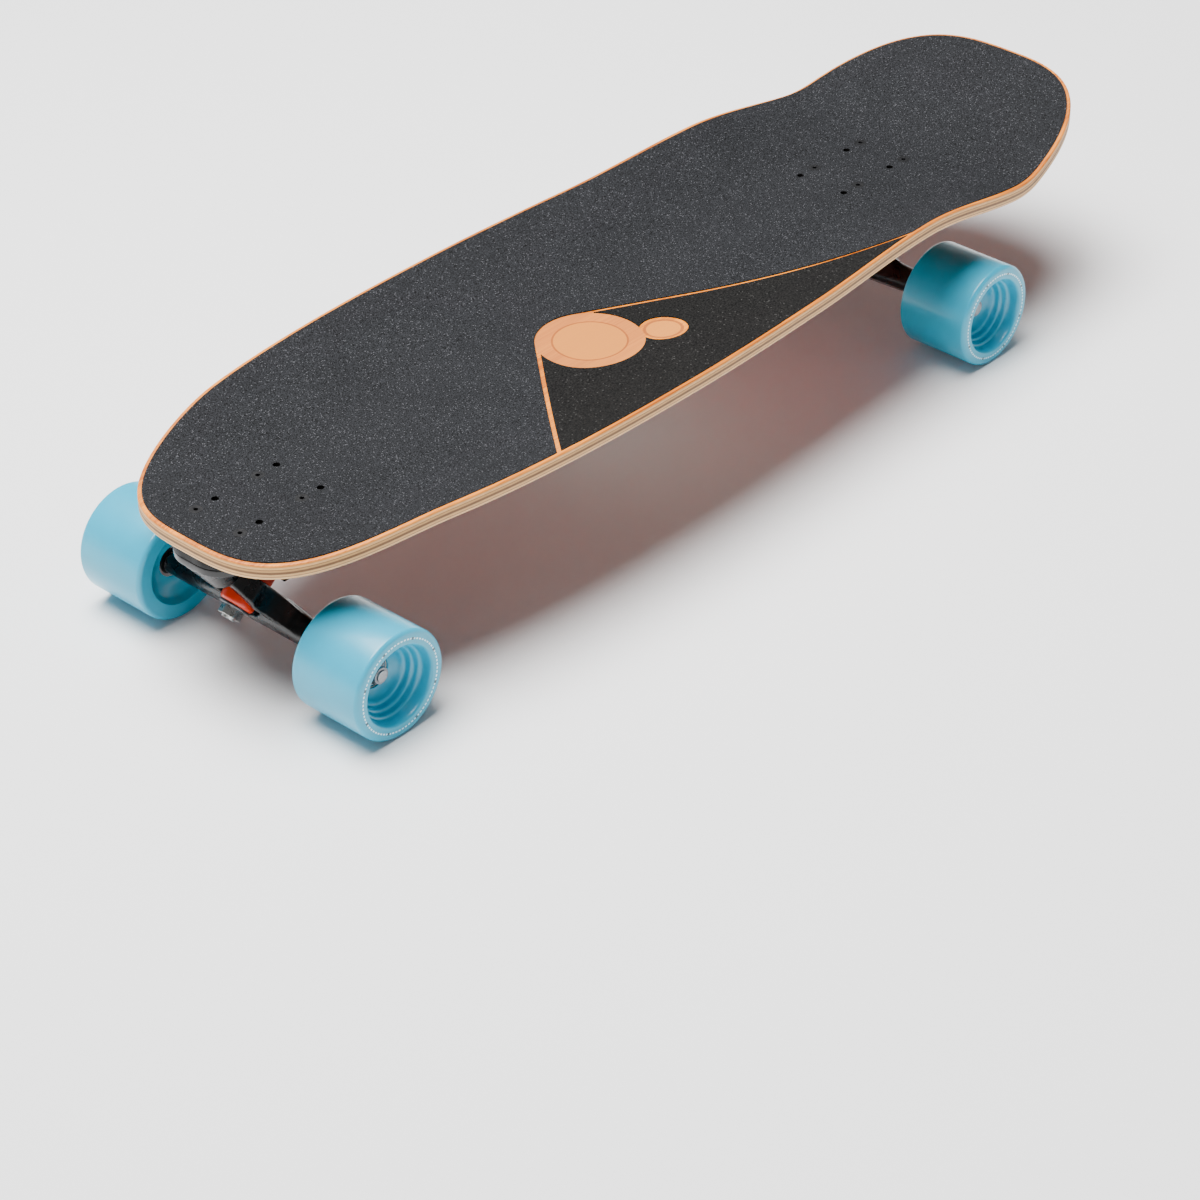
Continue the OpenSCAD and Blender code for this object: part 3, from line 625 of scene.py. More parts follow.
# Cast urethane wheel: sky blue, glossy from the mould, soft and slightly translucent.
WHEEL_URETHANE = PrintedUrethane(
    "cast_urethane_sky_blue", "129FBE", 0.3, depth_mm=2.5, depth_weight=0.25, coat=0.15,
    coat_roughness=0.1, uneven_mm=18.0, uneven=0.03,
    rings=(MarkRing(72, 0.5, 0.3, 0.55, "CDEDF5"), MarkRing(8, 0.0, 0.04, 1.0, "0E5364")),
)


# ---------------------------------------------------------------- mesh tools


def placed(name: str, data: bpy.types.ID) -> bpy.types.Object:
    """Makes an object of a mesh, a light or a camera, and links it to the scene."""
    made = bpy.data.objects.new(name, data)
    bpy.context.scene.collection.objects.link(made)
    return made


def new_piece(
    name: str,
    points: Points,
    faces: Sequence[Sequence[int]],
    finish: Finish,
    crease_deg: float = 35.0,
) -> bpy.types.Object:
    """Makes a mesh object with smooth faces and sharp creases.

    Args:
        name: the piece's name.
        points: vertices in metres.
        faces: vertex numbers of each face.
        finish: its finish.
        crease_deg: angle over which an edge stays sharp.

    Returns:
        The object, linked to the scene.
    """
    mesh = bpy.data.meshes.new(name)
    mesh.from_pydata([tuple(p) for p in points], [], [tuple(f) for f in faces])
    mesh.validate()
    mesh.shade_smooth()
    mesh.set_sharp_from_angle(angle=math.radians(crease_deg))
    mesh.materials.append(finish.material())
    return placed(name, mesh)


def inside(points: Points, loop: Points) -> Points:
    """Tells which points lie in a closed loop.

    Args:
        points: an array of x and y.
        loop: the loop's corners.

    Returns:
        One truth value per point.
    """
    x, y = points[:, 0][:, None], points[:, 1][:, None]
    ax, ay = loop[:, 0][None], loop[:, 1][None]
    bx, by = np.roll(loop[:, 0], -1)[None], np.roll(loop[:, 1], -1)[None]
    spans = (ay > y) != (by > y)
    slope = np.where(by == ay, 1e-12, by - ay)
    crosses = spans & (x < (bx - ax) * (y - ay) / slope + ax)
    return crosses.sum(axis=1) % 2 == 1


def circle(x: float, y: float, radius: float, count: int) -> Points:
    """Returns the corners of a round loop."""
    turn = np.arange(count) * math.tau / count
    return np.c_[x + radius * np.cos(turn), y + radius * np.sin(turn)]


def filleted(corners: Sequence[tuple[float, float]], radius: float, steps: int = 4) -> Points:
    """Rounds the corners of an open line.

    Args:
        corners: the line's corners.
        radius: how far from each corner its rounding starts.
        steps: straight parts in each rounding.

    Returns:
        The rounded line.
    """
    p = np.array(corners, float)
    line = [p[0]]
    for before, corner, after in zip(p, p[1:], p[2:]):
        back, ahead = before - corner, after - corner
        reach_back = min(radius, 0.45 * float(np.linalg.norm(back)))
        reach_ahead = min(radius, 0.45 * float(np.linalg.norm(ahead)))
        start = corner + back / np.linalg.norm(back) * reach_back
        stop = corner + ahead / np.linalg.norm(ahead) * reach_ahead
        for t in np.linspace(0, 1, steps + 1):
            line.append((1 - t) ** 2 * start + 2 * t * (1 - t) * corner + t * t * stop)
    line.append(p[-1])
    return np.array(line)


def revolved(section: Points, count: int) -> tuple[Points, list[tuple[int, int, int, int]]]:
    """Turns a closed section about the Z axis.

    Args:
        section: radius and height of each corner, in mm.
        count: steps in the full turn.

    Returns:
        Vertices in metres, and faces.
    """
    turn = np.arange(count) * math.tau / count
    r, z = section[:, 0], section[:, 1]
    x = np.outer(np.cos(turn), r)
    y = np.outer(np.sin(turn), r)
    h = np.outer(np.ones(count), z)
    points = np.stack([x, y, h], axis=-1).reshape(-1, 3) * MM
    n = len(section)
    faces = [
        (i * n + k, ((i + 1) % count) * n + k, ((i + 1) % count) * n + (k + 1) % n,
         i * n + (k + 1) % n)
        for i in range(count)
        for k in range(n)
    ]
    return points, faces


def stepped(section: Points, step: float) -> Points:
    """Adds corners to an open section so that none lie further apart than a step.

    Args:
        section: radius and height of each corner, in mm.
        step: longest distance between two corners, in mm.

    Returns:
        The section with its added corners.
    """
    rows = [section[:1]]
    for a, b in zip(section[:-1], section[1:]):
        count = max(1, math.ceil(float(np.linalg.norm(b - a)) / step))
        rows.append(a + (b - a) * np.linspace(0, 1, count + 1)[1:, None])
    return np.concatenate(rows)


# ---------------------------------------------------------------- deck


def smooth_ramp(value: Points, start: float, stop: float) -> Points:
    """Rises smoothly from 0 at start to 1 at stop."""
    t = np.clip((value - start) / (stop - start), 0, 1)
    return t * t * (3 - 2 * t)


@dataclass(frozen=True)
class DeckShape:
    """The deck's plan and section, in mm."""

    nose_reach: float = 55.0
    tail_reach: float = 180.0
    belly_half: float = 126.5
    waist_half: float = 115.0
    belly_offset: float = 20.0
    waist_offset: float = 285.0
    flat_half: float = 36.0
    concave: float = 13.0
    waist_lift: float = 4.0
    nose_fade: float = 131.0
    waist_rise: tuple[float, float] = (120.0, 235.0)
    tail_fade: tuple[float, float] = (245.0, 385.0)
    edge_power: float = 1.6
    kick_deg: float = 14.0
    kick_radius: float = 130.0
    kick_start: float = 46.0
    nose_power: float = 2.4
    nose_side: float = 0.31
    tail_power: float = 3.0
    tail_side: float = 0.335
    underside: float = 107.9
    # Places worked out along a rounded end and along a side, before even steps are taken.
    end_samples: int = 1500
    side_samples: int = 400

    @property
    def belly(self) -> float:
        """Place of the widest part."""
        return MID - self.belly_offset

    @property
    def waist(self) -> float:
        """Place of the narrow part ahead of the tail truck."""
        return MID + self.waist_offset

    @property
    def nose(self) -> float:
        """Place of the nose tip."""
        return End.NOSE.axle - self.nose_reach

    @property
    def tail(self) -> float:
        """Place of the tail tip."""
        return End.TAIL.axle + self.tail_reach

    def half_width(self, x: Points) -> Points:
        """Half of the deck's width at each place along X."""
        nose_share = np.clip((self.belly - x) / (self.belly - self.nose), 0, 1)
        tail_share = np.clip((x - self.waist) / (self.tail - self.waist), 0, 1)
        at_nose = self.belly_half * (1 - nose_share**self.nose_power) ** self.nose_side
        at_tail = self.waist_half * (1 - tail_share**self.tail_power) ** self.tail_side
        between = self.belly_half - (self.belly_half - self.waist_half) * smooth_ramp(
            x, self.belly, self.waist
        )
        return np.where(x < self.belly, at_nose, np.where(x < self.waist, between, at_tail))

    def lift(self, x: Points, y: Points) -> Points:
        """Height of the pressed shape over its flat middle, by place."""
        half = self.half_width(x)
        flat = np.minimum(self.flat_half, half / 2)
        share = np.clip((np.abs(y) - flat) / np.maximum(half - flat, 1e-3), 0, 1)
        from_mid = x - MID
        edge = self.concave + self.waist_lift * smooth_ramp(from_mid, *self.waist_rise)
        edge = edge * smooth_ramp(x, self.nose, self.nose + self.nose_fade)
        edge = edge * (1 - smooth_ramp(from_mid, *self.tail_fade))
        angle = math.radians(self.kick_deg)
        past = x - (End.TAIL.axle + self.kick_start)
        arc = self.kick_radius * math.sin(angle)
        bend = self.kick_radius - np.sqrt(
            np.maximum(self.kick_radius**2 - np.clip(past, 0, arc) ** 2, 0)
        )
        kick = bend + np.maximum(past - arc, 0) * math.tan(angle)
        return kick + edge * share**self.edge_power

    def outline(self, step: float = 5.0) -> Points:
        """The deck's edge as a closed loop, anticlockwise from the nose tip.

        Args:
            step: distance between its points.

        Returns:
            An array of x and y.
        """
        turn = np.linspace(0, math.pi / 2, self.end_samples)
        nose_x = self.belly - (self.belly - self.nose) * np.cos(turn) ** (2 / self.nose_power)
        nose_y = self.belly_half * np.sin(turn) ** (2 * self.nose_side)
        middle_x = np.linspace(self.belly, self.waist, self.side_samples)[1:-1]
        tail_x = self.waist + (self.tail - self.waist) * np.cos(turn[::-1]) ** (
            2 / self.tail_power
        )
        tail_y = self.waist_half * np.sin(turn[::-1]) ** (2 * self.tail_side)
        x = np.concatenate([nose_x, middle_x, tail_x])
        y = np.concatenate([nose_y, self.half_width(middle_x), tail_y])
        length = np.concatenate([[0], np.cumsum(np.hypot(np.diff(x), np.diff(y)))])
        count = int(length[-1] / step)
        at = np.linspace(0, length[-1], count + 1)
        left = np.c_[np.interp(at, length, x), np.interp(at, length, y)]
        right = left[1:-1][::-1] * [1, -1]
        return np.concatenate([left, right])[::-1]


@dataclass(frozen=True)
class Level:
    """One height in a sheet's thickness, in mm."""

    height: float
    inset: float = 0.0
    sink: float = 0.0


@dataclass
class SheetPlan:
    """A triangulated plan with its outer loop and bolt holes, ready to be made solid."""

    points: Points
    triangles: Points
    outward: Points
    radial: Points


@dataclass
class Deck:
    """The pressed deck: two veneers on a core, and the grip sheet with its inset."""

    shape: DeckShape = field(default_factory=DeckShape)
    veneer: float = 0.8
    core: float = 9.7
    grip: float = 0.8
    grip_margin: float = 3.0
    line: float = 3.0
    nose_line_deg: float = 228.5
    tail_line_deg: float = -28.5
    hole: float = 2.6
    head: float = 4.68
    head_depth: float = 2.6
    spare_shift: float = 16.6
    pitch: tuple[float, float] = (53.975, 41.275)
    low_round: float = 2.2
    top_round: float = 1.4
    mesh_step: float = 7.0
    hole_steps: int = 28
    edge_room: float = 4.5
    hole_room: float = 2.5
    rim_room: float = 0.5
    round_steps: tuple[float, ...] = (0.15, 0.4, 0.8, 1.4, 2.2)
    line_reach: float = 460.0
    line_step: float = 5.0

    @property
    def stack(self) -> float:
        """Thickness of the wood."""
        return self.core + 2 * self.veneer

    def hole_centres(self, shift: float) -> list[tuple[float, float]]:
        """Centres of the eight bolt holes, moved towards the middle by shift."""
        return [
            (MID + end.value * (WHEELBASE / 2 - shift) + i * self.pitch[0] / 2,
             j * self.pitch[1] / 2)
            for end in End
            for i in (-1, 1)
            for j in (-1, 1)
        ]

    def all_holes(self) -> list[tuple[float, float]]:
        """Centres of the truck bolts' holes, then of the spare holes."""
        return self.hole_centres(0.0) + self.hole_centres(self.spare_shift)

    def inset(self, height: float) -> float:
        """How far the rounded edge stands in from the outline at a height."""
        for radius, depth in ((self.low_round, height), (self.top_round, self.stack - height)):
            if depth < radius:
                return radius - math.sqrt(max(0.0, radius**2 - (radius - depth) ** 2))
        return 0.0

    def sink(self, height: float) -> float:
        """How much wider than its shank a bolt's hole is at a height."""
        depth = self.stack + self.grip - height
        return max(0.0, 1 - depth / self.head_depth) * (self.head - self.hole)

    def levels(self, low: float, high: float, count: int) -> list[Level]:
        """Levels from low to high, closest together where the edge is rounded."""
        near = [low, high]
        for step in self.round_steps:
            near += [low + step, high - step]
        near += list(np.linspace(low, high, count))
        heights = sorted({round(h, 3) for h in near if low <= h <= high})
        return [Level(h, self.inset(h), self.sink(h)) for h in heights]

    def plan(
        self, edge: Points, cuts: Sequence[Points], keep: Callable[[Points], Points]
    ) -> SheetPlan:
        """Triangulates the part of the deck that keep() accepts.

        Args:
            edge: the outer loop.
            cuts: further loops that the triangles must follow.
            keep: takes an array of places and tells which are in the sheet.

        Returns:
            The plan, with the directions in which its edge and hole points move.
        """
        centres = self.all_holes()
        loops = [edge, *cuts, *(circle(x, y, self.hole, self.hole_steps) for x, y in centres)]
        low, high = edge.min(0), edge.max(0)
        grid = np.stack(
            np.meshgrid(
                np.arange(low[0], high[0], self.mesh_step),
                np.arange(low[1], high[1], self.mesh_step),
            ),
            axis=-1,
        ).reshape(-1, 2)
        grid = grid[inside(grid, self.moved_in(edge, self.edge_room))]
        for centre in centres:
            grid = grid[np.hypot(*(grid - centre).T) > self.hole + self.hole_room]
        start, corners, edges = len(grid), [grid], []
        for loop in loops:
            numbers = np.arange(len(loop)) + start
            edges += list(zip(numbers.tolist(), np.roll(numbers, -1).tolist()))
            corners.append(loop)
            start += len(loop)
        found = delaunay_2d_cdt(
            [Vector(p) for p in np.concatenate(corners)], edges, [], 0, 1e-5
        )
        points = np.array([tuple(v) for v in found[0]])
        triangles = np.array([f for f in found[2] if len(f) == 3])
        middles = points[triangles].mean(axis=1)
        wanted = inside(middles, edge) & keep(middles)
        for centre in centres:
            wanted &= np.hypot(*(middles - centre).T) > self.hole * 0.98
        triangles = triangles[wanted]
        used, flat = np.unique(triangles, return_inverse=True)
        points, triangles = points[used], flat.reshape(-1, 3)
        return SheetPlan(points, triangles, self.edge_moves(points, edge),
                         self.hole_moves(points))

    def moved_in(self, loop: Points, distance: float) -> Points:
        """Moves an outline inwards by a distance."""
        return loop - self.normals(loop) * distance

    def normals(self, loop: Points) -> Points:
        """Directions out of a loop at its corners."""
        along = np.roll(loop, -1, axis=0) - np.roll(loop, 1, axis=0)
        along /= np.linalg.norm(along, axis=1)[:, None]
        out = np.c_[along[:, 1], -along[:, 0]]
        area = np.sum(loop[:, 0] * np.roll(loop[:, 1], -1) - np.roll(loop[:, 0], -1) * loop[:, 1])
        return out if area > 0 else -out

    def edge_moves(self, points: Points, edge: Points) -> Points:
        """The outward direction of each point on the outer loop, and zero elsewhere."""
        normals = self.normals(edge)
        moves = np.zeros_like(points)
        for k, p in enumerate(points):
            apart = np.abs(edge - p).sum(axis=1)
            nearest = int(apart.argmin())
            if apart[nearest] < 1e-3:
                moves[k] = normals[nearest]
        return moves

    def hole_moves(self, points: Points) -> Points:
        """The direction out of its hole of each point on a truck bolt's hole."""
        moves = np.zeros_like(points)
        for centre in self.hole_centres(0.0):
            away = points - centre
            far = np.hypot(*away.T)
            on_rim = np.abs(far - self.hole) < 0.05
            moves[on_rim] = away[on_rim] / far[on_rim][:, None]
        return moves

    def in_hole(self, point: Points) -> bool:
        """Whether a rim point is on the wall of a bolt hole."""
        near = self.hole + self.rim_room
        return any(np.hypot(*(point - centre)) < near for centre in self.all_holes())

    def solid(
        self, name: str, plan: SheetPlan, levels: Sequence[Level], finish: Finish
    ) -> bpy.types.Object:
        """Makes a sheet of even thickness that follows the deck's shape.

        Args:
            name: the piece's name.
            plan: its plan.
            levels: heights over the deck's underside, lowest first.
            finish: its finish.

        Returns:
            The piece.
        """
        a, b = plan.triangles, np.roll(plan.triangles, -1, axis=1)
        sides = {(int(p), int(q)) for p, q in zip(a.ravel(), b.ravel())}
        rim = [(p, q) for p, q in sides if (q, p) not in sides]
        rim.sort()
        base = self.shape.lift(plan.points[:, 0], plan.points[:, 1]) + self.shape.underside
        count = len(plan.points)
        points: list[Points] = []
        heights: list[float] = []
        number: list[dict[int, int] | None] = []
        rim_points = sorted({p for pair in rim for p in pair})
        total = 0
        for k, level in enumerate(levels):
            flat = plan.points - plan.outward * level.inset + plan.radial * level.sink
            placed = np.c_[flat, base + level.height]
            if k in (0, len(levels) - 1):
                number.append(None)
                points.append(placed)
                heights += [level.height] * count
                total += count
            else:
                number.append({p: total + i for i, p in enumerate(rim_points)})
                points.append(placed[rim_points])
                heights += [level.height] * len(rim_points)
                total += len(rim_points)
        top = total - count
        faces = [(t[0], t[2], t[1]) for t in plan.triangles.tolist()]
        faces += [tuple(v + top for v in t) for t in plan.triangles.tolist()]

        def at(level: int, p: int) -> int:
            """Number of a rim point at a level."""
            found = number[level]
            if found is not None:
                return found[p]
            return p if level == 0 else p + top

        # The walls of holes are marked for painted shade.
        drilled = [0.0] * len(faces)
        for k in range(len(levels) - 1):
            faces += [(at(k, p), at(k, q), at(k + 1, q), at(k + 1, p)) for p, q in rim]
            drilled += [float(self.in_hole(plan.points[p])) for p, _ in rim]
        piece = new_piece(name, np.concatenate(points) * MM, faces, finish, 50.0)
        if len(piece.data.polygons) == len(drilled):
            walls = piece.data.attributes.new(DRILLED, "FLOAT", "FACE")
            walls.data.foreach_set("value", np.array(drilled, np.float32))
        mark = piece.data.attributes.new(PLY_HEIGHT, "FLOAT", "POINT")
        mark.data.foreach_set(
            "value", (np.array(heights) - self.veneer).astype(np.float32) * MM
        )
        return piece

    def between_lines(self, inset: float) -> Points:
        """The part of the plan between the two bare lines.

        Args:
            inset: distance of its sides inside the outer tangents of the large disc.

        Returns:
            Its corners.
        """
        centre, radius = np.array(LARGE_DISC[:2]), LARGE_DISC[2] - inset
        count = round(self.line_reach / self.line_step) + 1
        along = np.linspace(0, self.line_reach, count)[:, None]

        def unit(degrees: float) -> Points:
            """A direction in the plan."""
            return np.array([math.cos(math.radians(degrees)), math.sin(math.radians(degrees))])

        nose_touch = centre + radius * unit(self.nose_line_deg - 90)
        tail_touch = centre + radius * unit(self.tail_line_deg + 90)
        return np.concatenate(
            [
                [centre],
                nose_touch + along * unit(self.nose_line_deg),
                (tail_touch + along * unit(self.tail_line_deg))[::-1],
            ]
        )

    def build(self) -> list[bpy.types.Object]:
        """Makes the five sheets and hangs them on the deck.

        Returns:
            The pieces.
        """
        edge = self.shape.outline()
        wood = self.plan(edge, [], lambda p: np.ones(len(p), bool))
        grip_edge = self.moved_in(edge, self.grip_margin)
        discs = [circle(*LARGE_DISC, 160), circle(*SMALL_DISC, 96)]
        wide, narrow = self.between_lines(0.0), self.between_lines(self.line)

        def on_discs(p: Points) -> Points:
            """Whether places are on a bare disc."""
            return inside(p, discs[0]) | inside(p, discs[1])

        cuts = [*discs, wide, narrow]
        main = self.plan(grip_edge, cuts, lambda p: ~inside(p, wide) & ~on_discs(p))
        inset = self.plan(grip_edge, cuts, lambda p: inside(p, narrow) & ~on_discs(p))
        top = self.veneer + self.core
        grip_levels = [
            Level(self.stack, 0.0, self.sink(self.stack)),
            Level(self.stack + self.grip, 0.0, self.sink(self.stack + self.grip)),
        ]
        made = [
            ("deck_underside_veneer", wood, self.levels(0, self.veneer, 3), ROSEWOOD,
             "deck_bottom_veneer", "rosewood_veneer"),
            ("deck_pressed_core", wood, self.levels(self.veneer, top, 6), PLIES,
             "deck_core", "deck_core"),
            ("deck_face_veneer", wood, self.levels(top, self.stack, 3), BAMBOO,
             "deck_top_veneer", "bamboo_veneer"),
            ("grip_sheet", main, grip_levels, GRIP, "grip_tape", "grip"),
            ("grip_coarse_inset", inset, grip_levels, COARSE_GRIP, "grip_inset", "grip_coarse"),
        ]
        pieces = []
        for name, plan, levels, finish, node, slot in made:
            piece = self.solid(name, plan, levels, finish)
            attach(piece, "deck")
            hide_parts(node)
            pieces.append(piece)
        return pieces


# ---------------------------------------------------------------- trucks


@dataclass
class Truck:
    """One reverse-kingpin truck's castings and bushings, in mm from its kingpin ring."""

    end: End
    nodes: dict[str, bpy.types.Object]
    plate_height: float = 101.9
    ring_out: float = 6.0
    ring_drop: float = 41.0
    steer_deg: float = 50.0
    voxel: float = 0.9
    soften: int = 5
    deck_bushing: tuple[float, float] = (-18.9, -3.7)
    deck_bushing_radius: float = 13.5
    road_bushing: tuple[float, float] = (4.7, 16.5)
    road_bushing_radius: float = 12.3
    bushing_bore: float = 4.95
    # Longest stretch of a bushing's wall between two rows.
    bushing_row: float = 1.2

    @property
    def body(self) -> str:
        """Name of the steering body."""
        return f"truck_{self.end.label}"

    def ring_frame(self) -> Matrix:
        """The kingpin ring's frame: +X along the steering axis, +Z along the kingpin."""
        turn = Matrix.Diagonal((1, -1, -1, 1) if self.end is End.TAIL else (-1, 1, -1, 1))
        base = Matrix.Translation(Vector((self.end.axle, 0, self.plate_height)) * MM)
        ring = Matrix.Translation(Vector((self.ring_out, 0, self.ring_drop)) * MM)
        return base @ turn @ ring @ Matrix.Rotation(math.radians(self.steer_deg), 4, "Y")

    def casting(self, node: str, name: str, body: str) -> bpy.types.Object:
        """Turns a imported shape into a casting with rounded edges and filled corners.

        Args:
            node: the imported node.
            name: the new piece's name.
            body: the body it rides on.

        Returns:
            The piece.
        """
        rough = placed(name + "_rough", self.nodes[node].data.copy())
        weld = rough.modifiers.new("weld", "WELD")
        weld.merge_threshold = WELD_M
        remesh = rough.modifiers.new("remesh", "REMESH")
        remesh.mode = "VOXEL"
        remesh.voxel_size = self.voxel * MM
        remesh.use_smooth_shade = True
        relax = rough.modifiers.new("relax", "SMOOTH")
        relax.factor = 0.5
        relax.iterations = self.soften
        bpy.context.view_layer.update()
        shown = rough.evaluated_get(bpy.context.evaluated_depsgraph_get())
        mesh = bpy.data.meshes.new_from_object(shown)
        bpy.data.objects.remove(rough)
        mesh.name = name
        mesh.materials.clear()
        mesh.materials.append(POWDER_COAT.material())
        mesh.shade_smooth()
        piece = placed(name, mesh)
        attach(piece, body)
        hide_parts(node)
        return piece

    def bushing(
        self, name: str, node: str, span: tuple[float, float], radius: float, moving_low: bool
    ) -> bpy.types.Object:
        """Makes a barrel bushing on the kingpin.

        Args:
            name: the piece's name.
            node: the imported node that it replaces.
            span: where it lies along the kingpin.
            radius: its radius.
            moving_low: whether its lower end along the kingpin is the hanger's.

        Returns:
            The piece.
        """
        bore, (low, high) = self.bushing_bore, span
        corners = [
            (bore, low), (radius - 1.6, low), (radius - 0.15, low + 1.8), (radius, low + 3.6),
            (radius, high - 3.6), (radius - 0.15, high - 1.8), (radius - 1.6, high),
            (bore, high),
        ]
        section = np.concatenate([filleted(corners, 0.9), [[bore, low + 0.01]]])
        points, faces = revolved(stepped(section, self.bushing_row), 72)
        piece = new_piece(name, points, faces, BUSHING_URETHANE)
        piece.data.transform(self.ring_frame())
        ends = [self.ring_frame() @ Vector((0, 0, q * MM)) for q in span]
        if moving_low:
            ends.reverse()
        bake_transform(piece)
        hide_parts(node)
        return piece

    def build(self) -> list[bpy.types.Object]:
        """Makes the castings and the bushings.

        Returns:
            The pieces.
        """
        end = self.end.label
        return [
            self.casting(f"baseplate_{end}", f"cast_baseplate_{end}", "deck"),
            self.casting(f"hanger_{end}", f"cast_hanger_{end}", self.body),
            self.bushing(f"deckside_bushing_{end}", f"board_bushing_{end}",
                         self.deck_bushing, self.deck_bushing_radius, False),
            self.bushing(f"roadside_bushing_{end}", f"road_bushing_{end}",
                         self.road_bushing, self.road_bushing_radius, True),
        ]


# ---------------------------------------------------------------- wheels


@dataclass
class Wheel:
    """One cast wheel on its axle end, in mm from the point between its bearings."""

    end: End
    side: Side
    radius: float = 39.0
    hub: float = 95.5
    face_out: float = 36.5
    face_in: float = -23.5
    dish: float = 29.0
    bore: float = 11.2
    core: float = 17.03
    core_half: float = 12.33
    rib: float = 19.03
    rib_half: float = 1.03
    tread_round: float = 4.0

    @property
    def corner(self) -> str:
        """The wheel's name in node and body names."""
        return f"{self.end.label}_{self.side.label}"

    def outer_dish(self) -> Points:
        """The stepped dish of the outer face, from the bore to the lip."""
        d, f = self.dish, self.face_out
        corners = [
            (self.bore, f - 23), (d - 16.5, f - 23), (d - 12, f - 20.5), (d - 10, f - 17.5),
            (d - 8, f - 16.7), (d - 7.2, f - 13), (d - 5.2, f - 12.2), (d - 4.4, f - 8.7),
            (d - 2.2, f - 7.9), (d - 0.8, f - 1.2), (d + 0.4, f), (d + 1.4, f),
        ]
        return filleted(corners, 2.2)

    def inner_dish(self) -> Points:
        """The plain dish of the inner face, from the lip to the bore."""
        d, f = self.dish, self.face_in
        corners = [
            (d - 1.0, f), (d - 1.6, f), (d - 2.4, f + 1.4), (d - 5, f + 5.5),
            (d - 12, f + 9.5), (d - 16, f + 10.6), (self.bore, f + 10.6),
        ]
        return filleted(corners, 1.6)

    def tread(self) -> Points:
        """The tread with its two rounded shoulders."""
        r, t = self.radius, self.tread_round
        turn = np.linspace(0, math.pi / 2, 9)
        reach, drop = r - t + t * np.sin(turn), 0.8 * t * (1 - np.cos(turn))
        outer = np.c_[reach, self.face_out - drop]
        inner = np.c_[reach, self.face_in + drop][::-1]
        return np.concatenate([outer, inner])

    def seat(self) -> Points:
        """The cavity round the core, with the three grooves for its ribs."""
        wall = [(self.bore, -self.core_half), (self.core, -self.core_half)]
        for z in (-6.0, 0.0, 6.0):
            low, high = z - self.rib_half, z + self.rib_half
            wall += [(self.core, low), (self.rib, low), (self.rib, high), (self.core, high)]
        wall += [(self.core, self.core_half), (self.bore, self.core_half)]
        return np.array(wall)

    def build(self) -> bpy.types.Object:
        """Makes the tyre.

        Returns:
            The piece.
        """
        section = np.concatenate(
            [self.outer_dish(), self.tread(), self.inner_dish(), self.seat()]
        )
        points, faces = revolved(section, 144)
        piece = new_piece(f"cast_wheel_{self.corner}", points, faces, WHEEL_URETHANE, 40.0)
        piece.matrix_world = self.place()
        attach(piece, f"wheel_{self.corner}")
        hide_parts(f"tyre_{self.corner}")
        return piece

    def place(self) -> Matrix:
        """The wheel's frame: origin between its bearings, +Z outwards along the axle."""
        at = Vector((self.end.axle, self.side.value * self.hub, self.radius)) * MM
        return Matrix.Translation(at) @ Matrix.Rotation(math.radians(-90 * self.side.value), 4, "X")


# ---------------------------------------------------------------- hardware


@dataclass(frozen=True)
class Hardware:
    """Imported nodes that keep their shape: a finish and a broken edge for each kind."""

    prefix: str
    finish: Finish
    edge_mm: float = 0.0

    def dress(self, node: bpy.types.Object) -> None:
        """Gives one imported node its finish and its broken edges.

        Args:
            node: the node's object.
        """
        if not node.data.materials:
            node.data.materials.append(self.finish.material())
        for slot in node.material_slots:
            slot.material = self.finish.material()
        if self.edge_mm:
            weld = node.modifiers.new("weld", "WELD")
            weld.merge_threshold = WELD_M
            edge = node.modifiers.new("broken_edge", "BEVEL")
            edge.width = self.edge_mm * MM
            edge.segments = 2
            edge.limit_method = "ANGLE"
            edge.angle_limit = math.radians(BEVEL_OVER_DEG)
            edge.harden_normals = True


# The first kind whose prefix fits a node dresses it, so kingpin_nuts comes before kingpin_.
HARDWARE = (
    Hardware("mounting_bolts", BLACK_OXIDE, 0.15),
    Hardware("mounting_nuts", BLACK_OXIDE, 0.3),
    Hardware("kingpin_nuts", ZINC, 0.4),
    Hardware("riser_pad_", PAD_RUBBER, 0.5),
    Hardware("pivot_cup_", CUP_URETHANE, 0.2),
    Hardware("kingpin_", ZINC, 0.4),
    Hardware("board_washer_", DULL_ZINC, 0.3),
    Hardware("road_washer_", DULL_ZINC, 0.3),
    Hardware("axle_nuts_", DULL_ZINC, 0.3),
    Hardware("axle_", AXLE_STEEL, 0.4),
    Hardware("speed_rings_", ZINC, 0.15),
    Hardware("bearing_inner_races_", BEARING_STEEL, 0.15),
    Hardware("bearing_outer_races_", BEARING_STEEL, 0.15),
    Hardware("bearing_spacers_", TURNED_ALUMINIUM),
    Hardware("bearing_shields_", SEAL_RUBBER, 0.06),
    Hardware("bearing_balls_", BEARING_STEEL),
    Hardware("bearing_cages_", CAGE_NYLON),
    Hardware("wheel_core_", CORE_NYLON, 0.2),
)


# ---------------------------------------------------------------- studio


